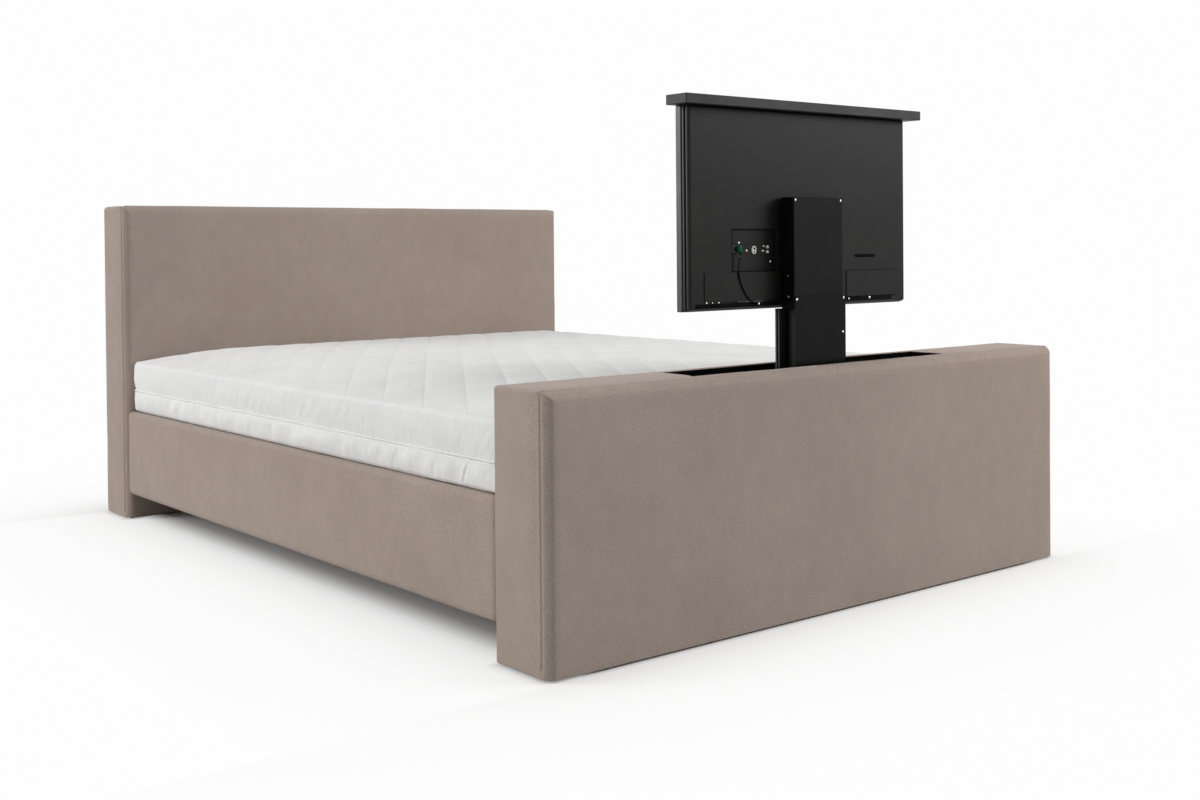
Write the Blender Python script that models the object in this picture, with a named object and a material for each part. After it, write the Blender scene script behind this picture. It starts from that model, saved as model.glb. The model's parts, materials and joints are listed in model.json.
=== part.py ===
"""Upholstered double bed whose footboard holds a television on a telescopic lift.

Metres, +Z up. The bed lies along Y with its headboard at +Y, and the origin is on the floor
under the middle of the bed. The lift is modelled raised, with the television out of the slot.
"""
import math

import bmesh
import bpy
from mathutils import Vector

# Clearances
SEAT_GAP = 0.0003
RUN_GAP = 0.0008
OVERRUN = 0.02

# Overall sizes
FOOTBOARD_DEPTH = 0.18
FOOTBOARD_HEIGHT = 0.56
HEADBOARD_DEPTH = 0.18
HEADBOARD_HEIGHT = 0.97

# Upholstery and carcass boards
PAD = 0.010
PAD_EDGE_RADIUS = 0.016
PAD_EDGE_STEPS = 3
PANEL_BOARD = 0.022
INNER_BOARD = 0.012
TOP_BOARD = 0.018
FLOOR_BOARD = 0.018
SKID_HEIGHT = 0.006
SKID_SETBACK = 0.018
HEAD_BOARD = 0.018
UPRIGHT_WIDTH = 0.060
TOP_RAIL_HEIGHT = 0.060

# Side rails and mattress support
RAIL_SETBACK = 0.004
RAIL_BOTTOM = 0.080
RAIL_TOP = 0.335
RAIL_EDGE_RADIUS = 0.012
LEDGER_WIDTH = 0.030
LEDGER_HEIGHT = 0.040
SLAT_COUNT = 8
SLAT_WIDTH = 0.120
SLAT_THICKNESS = 0.018
SLAT_END_MARGIN = 0.060
BEAM_WIDTH = 0.060
BEAM_HEIGHT = 0.060
LEG_SIDE = 0.050
TIMBER_EDGE = 0.003
BRACKET_FLANGE = 0.045
BRACKET_THICKNESS = 0.003
BRACKET_HEIGHT = 0.120
BRACKET_LIFT = 0.045

# Mattress, which sets the width of the bed and the space between its boards
MATTRESS_WIDTH = 1.62
MATTRESS_LENGTH = 2.00
MATTRESS_END_GAP = 0.010
MATTRESS_SIDE_STEP = 0.016
MATTRESS_EDGE_HEIGHT = 0.150
MATTRESS_CROWN = 0.048
MATTRESS_CROWN_REACH = 0.30
MATTRESS_CORNER_RADIUS = 0.035
MATTRESS_EDGE_ROUND = 0.016
MATTRESS_SEAM_DEPTH = 0.008
MATTRESS_BORDER_BULGE = 0.006

# Slot in the footboard
SLOT_LENGTH = 0.840
SLOT_INNER_WALL = 0.025
SLOT_DEPTH = 0.098

# Television
TV_WIDTH = 0.726
TV_HEIGHT = 0.451
TV_BEZEL_DEPTH = 0.018
TV_SHELL_DEPTH = 0.021
TV_SHELL_INSET = 0.006
TV_SHELL_WALL = 0.0025
TV_SHELL_CHAMFER = 0.003
TV_SHELL_BELOW_TOP = 0.0005
TV_SLOT_GAP = 0.003
TV_BOTTOM_ABOVE_BOARD = 0.129
SCREEN_BORDER = 0.016
SCREEN_BORDER_LOW = 0.024
SCREEN_THICKNESS = 0.002
TV_EDGE_RADIUS = 0.002

# Back of the television, measured from its left side as seen from the foot end and from its top
PANEL_FROM_SIDE = 0.131
PANEL_WIDTH = 0.134
PANEL_FROM_TOP = 0.270
PANEL_HEIGHT = 0.094
PANEL_RECESS = 0.006
PANEL_THICKNESS = 0.002
PLUG_FROM_PANEL_SIDE = 0.022
PLUG_FROM_PANEL_TOP = 0.046
PLUG_WIDTH = 0.017
PLUG_HEIGHT = 0.026
PLUG_DEPTH = 0.014
LEFT_COVER_FROM_SIDE = 0.046
LEFT_COVER_WIDTH = 0.222
LEFT_COVER_HEIGHT = 0.065
RIGHT_COVER_FROM_SIDE = 0.037
RIGHT_COVER_WIDTH = 0.183
RIGHT_COVER_HEIGHT = 0.062
COVER_ABOVE_EDGE = 0.020
COVER_THICKNESS = 0.0015
CLIP_WIDTH = 0.012
CLIP_HEIGHT = 0.008
CLIP_DEPTH = 0.0065
CLIP_FROM_PLUG = 0.057
CLIP_ABOVE_EDGE = 0.0035
CABLE_DIAMETER = 0.004
CABLE_STEPS = 6

# Lid over the television
LID_LENGTH = 0.780
LID_DEPTH = 0.068
LID_THICKNESS = 0.022
LID_EDGE = 0.0015
LID_SLOT_GAP = 0.0025

# Telescopic lift
MOUNT_WIDTH = 0.150
MOUNT_HEIGHT = 0.140
MOUNT_THICKNESS = 0.0038
CARRIAGE_WIDTH = 0.163
CARRIAGE_DEPTH = 0.041
CARRIAGE_HEIGHT = 0.266
CARRIAGE_BELOW_TV = 0.012
CARRIAGE_WALL = 0.0025
CARRIAGE_EDGE = 0.0015
INNER_RAIL_WALL = 0.003
INNER_RAIL_BELOW_CARRIAGE = 0.033
STAGE_GAP = 0.0028
STAGE_WALL = 0.0022
STAGE_SIDE_GAP = 0.0007
STAGE_OVERLAP = 0.040
STAGE_LENGTH = 0.385
GUIDE_WIDTH = 0.019
GUIDE_DEPTH = 0.013
GUIDE_GROOVE = 0.004
BASE_WALL = 0.003
BASE_TOP_CLEARANCE = 0.003
REAR_RUN = 0.0014
SPINDLE_RADIUS = 0.006
SPINDLE_PAST_NUT = 0.020
NUT_HEIGHT = 0.025
NUT_DEPTH = 0.026
NUT_ABOVE_STAGE_FOOT = 0.030
DRIVE_HEIGHT = 0.030
SCREW_HEAD_RADIUS = 0.0045
SCREW_HEAD_HEIGHT = 0.0018
SCREW_SHANK_RADIUS = 0.0022
SCREW_FROM_SIDE = 0.0060
SCREW_FROM_TOP = 0.0070
ROUND_SIDES = 24

# Places that follow from the sizes
BED_WIDTH = MATTRESS_WIDTH + 2 * (MATTRESS_SIDE_STEP + RAIL_SETBACK)
BETWEEN_BOARDS = MATTRESS_LENGTH + 2 * MATTRESS_END_GAP
LENGTH = FOOTBOARD_DEPTH + BETWEEN_BOARDS + HEADBOARD_DEPTH
FOOT_OUT = -LENGTH / 2
FOOT_IN = FOOT_OUT + FOOTBOARD_DEPTH
HEAD_IN = FOOT_IN + BETWEEN_BOARDS
HEAD_OUT = LENGTH / 2
HALF_WIDTH = BED_WIDTH / 2
BOARD_FOOT = SKID_HEIGHT + SEAT_GAP
RAIL_FACE = HALF_WIDTH - RAIL_SETBACK
RAIL_BOARD_OUT = RAIL_FACE - PAD - SEAT_GAP
RAIL_BOARD_IN = RAIL_BOARD_OUT - PANEL_BOARD
SLAT_FOOT = RAIL_TOP - SLAT_THICKNESS
SUPPORT_TOP = SLAT_FOOT - SEAT_GAP
MATTRESS_FOOT = RAIL_TOP + SEAT_GAP
CAVITY_FLOOR = BOARD_FOOT + FLOOR_BOARD + SEAT_GAP
CAVITY_TOP = FOOTBOARD_HEIGHT - PAD - SEAT_GAP - TOP_BOARD
SLOT_IN = FOOT_IN - SLOT_INNER_WALL
SLOT_OUT = SLOT_IN - SLOT_DEPTH
TV_FRONT = SLOT_IN - TV_SLOT_GAP
SHELL_FRONT = TV_FRONT - TV_BEZEL_DEPTH - SEAT_GAP
TV_BACK = SHELL_FRONT - TV_SHELL_DEPTH
TV_LOW = FOOTBOARD_HEIGHT + TV_BOTTOM_ABOVE_BOARD
TV_TOP = TV_LOW + TV_HEIGHT
LID_LOW = TV_TOP + SEAT_GAP
LID_TOP = LID_LOW + LID_THICKNESS
LID_IN = SLOT_IN - LID_SLOT_GAP
MOUNT_BACK = TV_BACK - SEAT_GAP - MOUNT_THICKNESS
RAIL_ENDS = MOUNT_BACK - SEAT_GAP
CARRIAGE_OUT = RAIL_ENDS - CARRIAGE_DEPTH
CARRIAGE_LOW = TV_LOW - CARRIAGE_BELOW_TV
CARRIAGE_TOP = CARRIAGE_LOW + CARRIAGE_HEIGHT
STAGE_IN = MOUNT_BACK - REAR_RUN
STAGE_OUT = CARRIAGE_OUT - STAGE_GAP - STAGE_WALL
STAGE_HALF = CARRIAGE_WIDTH / 2 + STAGE_SIDE_GAP + STAGE_WALL
STAGE_TOP = CARRIAGE_LOW + STAGE_OVERLAP
STAGE_LOW = STAGE_TOP - STAGE_LENGTH
GUIDE_OUT_X = STAGE_HALF + SEAT_GAP + GUIDE_WIDTH
BASE_HALF = GUIDE_OUT_X + RUN_GAP + BASE_WALL
BOARD_INNER_FACE = FOOT_OUT + PAD + SEAT_GAP + PANEL_BOARD
CHANNEL_BACK_FACE = BOARD_INNER_FACE + SEAT_GAP + BASE_WALL
GUIDE_OUT_Y = STAGE_IN - GUIDE_DEPTH
SPINDLE_X = (STAGE_HALF + BASE_HALF - BASE_WALL) / 2
SPINDLE_Y = (CHANNEL_BACK_FACE + GUIDE_OUT_Y) / 2
LIFT_AXIS = Vector((0, (CARRIAGE_OUT + RAIL_ENDS) / 2, 0))


def clear_scene():
    """Remove whatever the file holds."""
    for item in list(bpy.data.objects):
        bpy.data.objects.remove(item, do_unlink=True)


def material(name, colour, roughness, metallic=0):
    """Principled material with one plain colour."""
    made = bpy.data.materials.new(name)
    made.use_nodes = True
    shader = made.node_tree.nodes["Principled BSDF"]
    shader.inputs["Base Color"].default_value = (*colour, 1)
    shader.inputs["Roughness"].default_value = roughness
    shader.inputs["Metallic"].default_value = metallic
    made.diffuse_color = (*colour, 1)
    return made


def carrier(name, place):
    """Empty on a joint's axis, which carries the pieces that move with it."""
    empty = bpy.data.objects.new(name, None)
    empty.location = place
    bpy.context.scene.collection.objects.link(empty)
    return empty


def add(name, mesh, finish, place, parent=None):
    """Object of a mesh that is drawn about the place."""
    item = bpy.data.objects.new(name, mesh)
    mesh.materials.append(finish)
    bpy.context.scene.collection.objects.link(item)
    item.location = Vector(place)
    if parent:
        item.parent = parent
        item.location = Vector(place) - parent.location
    return item


def box_mesh(name, size):
    """Closed box about its own middle."""
    form = bmesh.new()
    bmesh.ops.create_cube(form, size=1)
    bmesh.ops.scale(form, vec=size, verts=form.verts)
    mesh = bpy.data.meshes.new(name)
    form.to_mesh(mesh)
    form.free()
    return mesh


def span(low, high):
    """Size and middle of a box from its two corners."""
    low, high = Vector(low), Vector(high)
    return high - low, (low + high) / 2


def block(name, finish, low, high, radius=0, steps=1, parent=None):
    """Box between two corners, with rounded edges if it has a radius."""
    size, middle = span(low, high)
    item = add(name, box_mesh(name, size), finish, middle, parent)
    if radius:
        edge = item.modifiers.new("edges", "BEVEL")
        edge.width = radius
        edge.segments = steps
        edge.limit_method = "ANGLE"
    return item


def as_cutter(item):
    """Keep a solid as a guide that the model doesn't show."""
    item.hide_render = True
    item.display_type = "WIRE"
    return item


def cut(item, cutter):
    """Take the cutter's form out of a solid."""
    hole = item.modifiers.new("cut " + cutter.name, "BOOLEAN")
    hole.operation = "DIFFERENCE"
    hole.object = cutter
    return item


def cut_box(item, label, low, high, finish):
    """Take a box out of a solid."""
    return cut(item, as_cutter(block(item.name + "_" + label, finish, low, high)))


def turned_mesh(name, profile, sides):
    """Closed solid of revolution about Z from a closed outline of radius and height."""
    form = bmesh.new()
    rings = []
    for radius, height in profile:
        if radius == 0:
            rings.append([form.verts.new((0, 0, height))])
            continue
        turn = [2 * math.pi * i / sides for i in range(sides)]
        rings.append([form.verts.new((radius * math.cos(a), radius * math.sin(a), height)) for a in turn])
    for below, above in zip(rings, rings[1:] + rings[:1]):
        if len(below) == 1 and len(above) == 1:
            continue
        for i in range(sides):
            j = (i + 1) % sides
            foot = [below[i % len(below)], below[j % len(below)]]
            head = [above[j % len(above)], above[i % len(above)]]
            form.faces.new(list(dict.fromkeys(foot + head)))
    bmesh.ops.recalc_face_normals(form, faces=form.faces)
    mesh = bpy.data.meshes.new(name)
    form.to_mesh(mesh)
    form.free()
    mesh.shade_smooth()
    mesh.set_sharp_from_angle(angle=math.radians(40))
    return mesh


def rod(name, finish, radius, x, y, low, high):
    """Upright round bar."""
    half = (high - low) / 2
    profile = [(0, -half), (radius, -half), (radius, half), (0, half)]
    return add(name, turned_mesh(name, profile, ROUND_SIDES), finish, (x, y, low + half))


def outline_mesh(name, outline, length, axis):
    """Prism of a closed outline: drawn in XZ and run along Y, or drawn in XY and run along Z."""
    form = bmesh.new()
    ends = []
    for end in (-length / 2, length / 2):
        if axis == "Y":
            ends.append([form.verts.new((u, end, v)) for u, v in outline])
        else:
            ends.append([form.verts.new((u, v, end)) for u, v in outline])
    form.faces.new(ends[0])
    form.faces.new(ends[1][::-1])
    count = len(outline)
    for i in range(count):
        j = (i + 1) % count
        form.faces.new([ends[0][i], ends[1][i], ends[1][j], ends[0][j]])
    bmesh.ops.recalc_face_normals(form, faces=form.faces)
    bmesh.ops.triangulate(form, faces=[f for f in form.faces if len(f.verts) > 4])
    mesh = bpy.data.meshes.new(name)
    form.to_mesh(mesh)
    form.free()
    return mesh


def arc(centre, radius, start, end, steps):
    """Points of a circular arc in degrees, both ends included."""
    angles = [math.radians(start + (end - start) * i / steps) for i in range(steps + 1)]
    return [(centre[0] + radius * math.cos(a), centre[1] + radius * math.sin(a)) for a in angles]


# Headboard

def headboard(wood, fabric, rubber):
    """Framed headboard under one padded cover, standing on a low skid."""
    face = HALF_WIDTH - PAD - SEAT_GAP
    front = HEAD_IN + PAD + SEAT_GAP
    back = HEAD_OUT - PAD - SEAT_GAP
    top = HEADBOARD_HEIGHT - PAD - SEAT_GAP
    block("headboard_front_board", wood, (-face, front, BOARD_FOOT), (face, front + HEAD_BOARD, top))
    block("headboard_back_board", wood, (-face, back - HEAD_BOARD, BOARD_FOOT), (face, back, top))
    inner_front = front + HEAD_BOARD + SEAT_GAP
    inner_back = back - HEAD_BOARD - SEAT_GAP
    rail_low = top - TOP_RAIL_HEIGHT
    for name, side in (("headboard_upright_left", -1), ("headboard_upright_right", 1)):
        ends = sorted((side * face, side * (face - UPRIGHT_WIDTH)))
        block(name, wood, (ends[0], inner_front, BOARD_FOOT), (ends[1], inner_back, rail_low - SEAT_GAP))
    block("headboard_top_rail", wood, (-face, inner_front, rail_low), (face, inner_back, top))
    cover = block("headboard_cover", fabric, (-HALF_WIDTH, HEAD_IN, BOARD_FOOT),
                  (HALF_WIDTH, HEAD_OUT, HEADBOARD_HEIGHT), PAD_EDGE_RADIUS, PAD_EDGE_STEPS)
    cut_box(cover, "hollow", (-face - SEAT_GAP, front - SEAT_GAP, -OVERRUN),
            (face + SEAT_GAP, back + SEAT_GAP, top + SEAT_GAP), wood)
    trim_foot(cover, HEAD_IN, HEAD_OUT, wood)
    skid("headboard_skid", rubber, HEAD_IN, HEAD_OUT)


def trim_foot(cover, near, far, finish):
    """Cut the rounded lower edge of a cover flat, where it folds under the board."""
    cover.modifiers["edges"].limit_method = "WEIGHT"
    weights = cover.data.attributes.new("bevel_weight_edge", "FLOAT", "EDGE")
    foot = min(v.co.z for v in cover.data.vertices)
    for edge in cover.data.edges:
        low_edge = all(cover.data.vertices[v].co.z == foot for v in edge.vertices)
        weights.data[edge.index].value = 0 if low_edge else 1


def skid(name, finish, near, far):
    """Low strip that a board stands on."""
    side = HALF_WIDTH - SKID_SETBACK
    return block(name, finish, (-side, near + SKID_SETBACK, 0), (side, far - SKID_SETBACK, SKID_HEIGHT))


# Footboard

def footboard(board, fabric, rubber):
    """Hollow box of boards under one padded cover, open through the slot in its top."""
    face = HALF_WIDTH - PAD - SEAT_GAP
    out_face = FOOT_OUT + PAD + SEAT_GAP
    in_face = FOOT_IN - PAD - SEAT_GAP
    wall_top = CAVITY_TOP - SEAT_GAP
    block("footboard_outer_board", board, (-face, out_face, BOARD_FOOT), (face, BOARD_INNER_FACE, wall_top))
    block("footboard_inner_board", board, (-face, in_face - INNER_BOARD, BOARD_FOOT),
          (face, in_face, wall_top))
    near = BOARD_INNER_FACE + SEAT_GAP
    far = in_face - INNER_BOARD - SEAT_GAP
    for name, side in (("footboard_end_left", -1), ("footboard_end_right", 1)):
        ends = sorted((side * face, side * (face - PANEL_BOARD)))
        block(name, board, (ends[0], near, BOARD_FOOT), (ends[1], far, wall_top))
    floor_end = face - PANEL_BOARD - SEAT_GAP
    block("footboard_floor", board, (-floor_end, near, BOARD_FOOT), (floor_end, far, BOARD_FOOT + FLOOR_BOARD))
    top = block("footboard_top", board, (-face, out_face, CAVITY_TOP), (face, in_face, CAVITY_TOP + TOP_BOARD))
    slot_low = (-SLOT_LENGTH / 2, SLOT_OUT, CAVITY_TOP - OVERRUN)
    slot_high = (SLOT_LENGTH / 2, SLOT_IN, FOOTBOARD_HEIGHT + OVERRUN)
    cut_box(top, "slot", slot_low, slot_high, board)
    cover = block("footboard_cover", fabric, (-HALF_WIDTH, FOOT_OUT, BOARD_FOOT),
                  (HALF_WIDTH, FOOT_IN, FOOTBOARD_HEIGHT), PAD_EDGE_RADIUS, PAD_EDGE_STEPS)
    trim_foot(cover, FOOT_OUT, FOOT_IN, board)
    cut_box(cover, "hollow", (-face - SEAT_GAP, out_face - SEAT_GAP, -OVERRUN),
            (face + SEAT_GAP, in_face + SEAT_GAP, FOOTBOARD_HEIGHT - PAD), board)
    cut_box(cover, "slot", slot_low, slot_high, board)
    skid("footboard_skid", rubber, FOOT_OUT, FOOT_IN)


# Side rails and mattress support

def rail_cover_outline(side):
    """Padded skin round three sides of a rail board, open towards the middle of the bed."""
    edge = RAIL_BOARD_IN
    low, high = RAIL_BOTTOM, RAIL_TOP
    radius = RAIL_EDGE_RADIUS
    hollow = RAIL_FACE - PAD
    points = [(edge, low)]
    points += arc((RAIL_FACE - radius, low + radius), radius, -90, 0, PAD_EDGE_STEPS)
    points += arc((RAIL_FACE - radius, high - radius), radius, 0, 90, PAD_EDGE_STEPS)
    points += [(edge, high), (edge, high - PAD), (hollow, high - PAD), (hollow, low + PAD), (edge, low + PAD)]
    return [(side * x, z) for x, z in points]


def side_rails(wood, fabric, steel):
    """Padded side rails with the ledgers that carry the slats, and their corner brackets."""
    near, far = FOOT_IN + SEAT_GAP, HEAD_IN - SEAT_GAP
    board_low = RAIL_BOTTOM + PAD + SEAT_GAP
    board_high = RAIL_TOP - PAD - SEAT_GAP
    ledger_out = RAIL_BOARD_IN - SEAT_GAP
    for word, side in (("left", -1), ("right", 1)):
        mesh = outline_mesh("rail_cover_" + word, rail_cover_outline(side), far - near, "Y")
        add("rail_cover_" + word, mesh, fabric, (0, (near + far) / 2, 0))
        ends = sorted((side * RAIL_BOARD_OUT, side * RAIL_BOARD_IN))
        block("side_rail_" + word, wood, (ends[0], near, board_low), (ends[1], far, board_high))
        ends = sorted((side * ledger_out, side * (ledger_out - LEDGER_WIDTH)))
        block("ledger_" + word, wood, (ends[0], near, SUPPORT_TOP - LEDGER_HEIGHT),
              (ends[1], far, SUPPORT_TOP), TIMBER_EDGE)
        for corner, end, way in (("foot", near, 1), ("head", far, -1)):
            corner_bracket("bracket_" + corner + "_" + word, steel, side, end, way)


def corner_bracket(name, steel, side, end, way):
    """Steel angle that ties a rail to the head or foot board."""
    inner = RAIL_BOARD_IN - SEAT_GAP
    wall = BRACKET_THICKNESS
    reach = BRACKET_FLANGE
    corner = [(0, 0), (reach, 0), (reach, wall), (wall, wall), (wall, reach), (0, reach)]
    outline = [(side * (inner - u), end + way * v) for u, v in corner]
    low = board_middle() - BRACKET_HEIGHT / 2 - BRACKET_LIFT
    mesh = outline_mesh(name, outline, BRACKET_HEIGHT, "Z")
    return add(name, mesh, steel, (0, 0, low + BRACKET_HEIGHT / 2))


def board_middle():
    """Height of the middle of the side rails."""
    return (RAIL_BOTTOM + RAIL_TOP) / 2


def slats(wood):
    """Row of slats on the ledgers and a middle beam on one leg."""
    near, far = FOOT_IN + SEAT_GAP, HEAD_IN - SEAT_GAP
    block("centre_beam", wood, (-BEAM_WIDTH / 2, near, SUPPORT_TOP - BEAM_HEIGHT),
          (BEAM_WIDTH / 2, far, SUPPORT_TOP), TIMBER_EDGE)
    leg_top = SUPPORT_TOP - BEAM_HEIGHT - SEAT_GAP
    block("centre_leg", wood, (-LEG_SIDE / 2, -LEG_SIDE / 2, 0),
          (LEG_SIDE / 2, LEG_SIDE / 2, leg_top), TIMBER_EDGE)
    half = RAIL_BOARD_IN - SEAT_GAP
    first = near + SLAT_END_MARGIN
    pitch = (far - near - 2 * SLAT_END_MARGIN - SLAT_WIDTH) / (SLAT_COUNT - 1)
    for i in range(SLAT_COUNT):
        start = first + i * pitch
        block(f"slat_{i + 1}", wood, (-half, start, SLAT_FOOT), (half, start + SLAT_WIDTH, RAIL_TOP),
              TIMBER_EDGE)


def rounded_loop(half_x, half_y, radius, corner_steps, side_steps):
    """Points round a rectangle with round corners, with points along its straight sides."""
    points = []
    corners = ((1, 1, 0), (-1, 1, 90), (-1, -1, 180), (1, -1, 270))
    for sign_x, sign_y, start in corners:
        centre = (sign_x * (half_x - radius), sign_y * (half_y - radius))
        points += arc(centre, radius, start, start + 90, corner_steps)
    full = []
    for i, here in enumerate(points):
        full.append(here)
        onward = points[(i + 1) % len(points)]
        if (i + 1) % (corner_steps + 1) == 0:
            for k in range(1, side_steps):
                along = Vector(here).lerp(Vector(onward), k / side_steps)
                full.append((along.x, along.y))
    return full


def mattress(fabric):
    """Soft mattress: two bulging borders, the seam drawn in between them and a crowned top."""
    half_bulge = MATTRESS_BORDER_BULGE / 2
    border = [(MATTRESS_EDGE_ROUND, 0), (MATTRESS_BORDER_BULGE, 0.07), (0, 0.26), (half_bulge, 0.43),
              (MATTRESS_SEAM_DEPTH, 0.50), (half_bulge, 0.57), (0, 0.74),
              (MATTRESS_BORDER_BULGE, 0.92), (MATTRESS_EDGE_ROUND, 1)]
    crown_shares = (0.12, 0.30, 0.55, 0.80, 1)
    form = bmesh.new()
    rings = []
    for inset, share in border:
        rings.append(mattress_ring(form, inset, MATTRESS_EDGE_HEIGHT * share))
    for share in crown_shares:
        inset = MATTRESS_EDGE_ROUND + MATTRESS_CROWN_REACH * share
        rise = math.sin(share * math.pi / 2) * MATTRESS_CROWN
        rings.append(mattress_ring(form, inset, MATTRESS_EDGE_HEIGHT + rise))
    for below, above in zip(rings, rings[1:]):
        for i in range(len(below)):
            j = (i + 1) % len(below)
            form.faces.new([below[i], below[j], above[j], above[i]])
    form.faces.new(rings[0][::-1])
    form.faces.new(rings[-1])
    bmesh.ops.recalc_face_normals(form, faces=form.faces)
    bmesh.ops.triangulate(form, faces=[f for f in form.faces if len(f.verts) > 4])
    mesh = bpy.data.meshes.new("mattress")
    form.to_mesh(mesh)
    form.free()
    mesh.shade_smooth()
    mesh.set_sharp_from_angle(angle=math.radians(60))
    return add("mattress", mesh, fabric, (0, (FOOT_IN + HEAD_IN) / 2, MATTRESS_FOOT))


def mattress_ring(form, inset, height):
    """One level of the mattress."""
    half_x = MATTRESS_WIDTH / 2 - inset
    half_y = MATTRESS_LENGTH / 2 - inset
    radius = max(MATTRESS_CORNER_RADIUS - inset, MATTRESS_EDGE_ROUND)
    return [form.verts.new((x, y, height)) for x, y in rounded_loop(half_x, half_y, radius, 4, 4)]


# Television

def television(plastic, glass, green, steel, parent):
    """Flat television seen from its back: bezel, screen, rear shell and what is on it."""
    half = TV_WIDTH / 2
    bezel = block("tv_bezel", plastic, (-half, TV_FRONT - TV_BEZEL_DEPTH, TV_LOW), (half, TV_FRONT, TV_TOP),
                  TV_EDGE_RADIUS, 2, parent)
    screen_low = (-half + SCREEN_BORDER, TV_FRONT - SCREEN_THICKNESS, TV_LOW + SCREEN_BORDER_LOW)
    screen_high = (half - SCREEN_BORDER, TV_FRONT + OVERRUN, TV_TOP - SCREEN_BORDER)
    gap = Vector((SEAT_GAP, SEAT_GAP, SEAT_GAP))
    cut_box(bezel, "recess", Vector(screen_low) - gap, Vector(screen_high) + gap, plastic)
    block("tv_screen", glass, screen_low, (screen_high[0], TV_FRONT - SEAT_GAP, screen_high[2]),
          parent=parent)
    shell_low = Vector((-half + TV_SHELL_INSET, TV_BACK, TV_LOW + TV_SHELL_INSET))
    shell_high = Vector((half - TV_SHELL_INSET, SHELL_FRONT, TV_TOP - TV_SHELL_BELOW_TOP))
    shell = block("tv_rear_shell", plastic, shell_low, shell_high, TV_SHELL_CHAMFER, 2, parent)
    chamfer_back_only(shell)
    wall = Vector((TV_SHELL_WALL, TV_SHELL_WALL, TV_SHELL_WALL))
    room_low, room_high = shell_low + wall, shell_high - wall
    pocket_floor = TV_BACK + PANEL_RECESS + PANEL_THICKNESS
    cut_box(shell, "hollow", room_low + Vector((0, pocket_floor - TV_BACK, 0)),
            (room_high.x, SHELL_FRONT + OVERRUN, room_high.z), plastic)
    left = -half + PANEL_FROM_SIDE
    top = TV_TOP - PANEL_FROM_TOP
    pocket_low = Vector((left, TV_BACK - OVERRUN, top - PANEL_HEIGHT))
    pocket_high = Vector((left + PANEL_WIDTH, pocket_floor, top))
    cut_box(shell, "pocket", pocket_low, pocket_high, plastic)
    panel_low = (left + SEAT_GAP, pocket_floor - SEAT_GAP - PANEL_THICKNESS, pocket_low.z + SEAT_GAP)
    panel_high = (pocket_high.x - SEAT_GAP, pocket_floor - SEAT_GAP, top - SEAT_GAP)
    block("connector_panel", plastic, panel_low, panel_high, parent=parent)
    plug_x = left + PLUG_FROM_PANEL_SIDE
    plug_z = top - PLUG_FROM_PANEL_TOP
    plug_seat = panel_low[1] - SEAT_GAP
    lead_plug(green, plug_x, plug_z, plug_seat, parent)
    back_covers(plastic, half, parent)
    lead(plastic, steel, plug_x, plug_z, parent)


def chamfer_back_only(shell):
    """Round the rear rim and the sides of the shell, and leave the rim at the bezel square."""
    shell.modifiers["edges"].limit_method = "WEIGHT"
    weights = shell.data.attributes.new("bevel_weight_edge", "FLOAT", "EDGE")
    rim = max(v.co.y for v in shell.data.vertices)
    for edge in shell.data.edges:
        at_rim = all(shell.data.vertices[v].co.y == rim for v in edge.vertices)
        weights.data[edge.index].value = 0 if at_rim else 1


def lead_plug(green, x, z, seat, parent):
    """Moulded plug that sits on the connector panel."""
    low = (x - PLUG_WIDTH / 2, seat - PLUG_DEPTH, z - PLUG_HEIGHT / 2)
    high = (x + PLUG_WIDTH / 2, seat, z + PLUG_HEIGHT / 2)
    return block("lead_plug", green, low, high, PLUG_WIDTH / 3, 3, parent)


def back_covers(plastic, half, parent):
    """Two shallow cover plates low on the back."""
    low = TV_LOW + COVER_ABOVE_EDGE
    seat = TV_BACK - SEAT_GAP
    start = -half + LEFT_COVER_FROM_SIDE
    block("tv_cover_left", plastic, (start, seat - COVER_THICKNESS, low),
          (start + LEFT_COVER_WIDTH, seat, low + LEFT_COVER_HEIGHT), COVER_THICKNESS / 2, 1, parent)
    end = half - RIGHT_COVER_FROM_SIDE
    block("tv_cover_right", plastic, (end - RIGHT_COVER_WIDTH, seat - COVER_THICKNESS, low),
          (end, seat, low + RIGHT_COVER_HEIGHT), COVER_THICKNESS / 2, 1, parent)


def lead(plastic, steel, plug_x, plug_z, parent):
    """Thin lead from the foot of the plug to a clip at the lower edge of the back."""
    radius = CABLE_DIAMETER / 2
    clip_x = plug_x + CLIP_FROM_PLUG
    clip_low = TV_LOW + TV_SHELL_INSET + CLIP_ABOVE_EDGE
    clip_seat = TV_BACK - SEAT_GAP
    block("lead_clip", steel, (clip_x - CLIP_WIDTH / 2, clip_seat - CLIP_DEPTH, clip_low),
          (clip_x + CLIP_WIDTH / 2, clip_seat, clip_low + CLIP_HEIGHT), COVER_THICKNESS / 2, 1, parent)
    plane = TV_BACK - SEAT_GAP - COVER_THICKNESS - CABLE_DIAMETER
    start = Vector((plug_x, plane, plug_z - PLUG_HEIGHT / 2 - SEAT_GAP))
    end = Vector((clip_x, plane, clip_low + CLIP_HEIGHT + SEAT_GAP))
    route_shares = ((0, 0), (0, 0.13), (0.07, 0.37), (0.38, 0.63), (0.90, 0.80), (1, 0.90), (1, 1))
    points = [Vector((start.x + (end.x - start.x) * across, plane, start.z + (end.z - start.z) * down))
              for across, down in route_shares]
    lead_curve("tv_lead", plastic, smooth_route(points, CABLE_STEPS), radius, parent)


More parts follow.
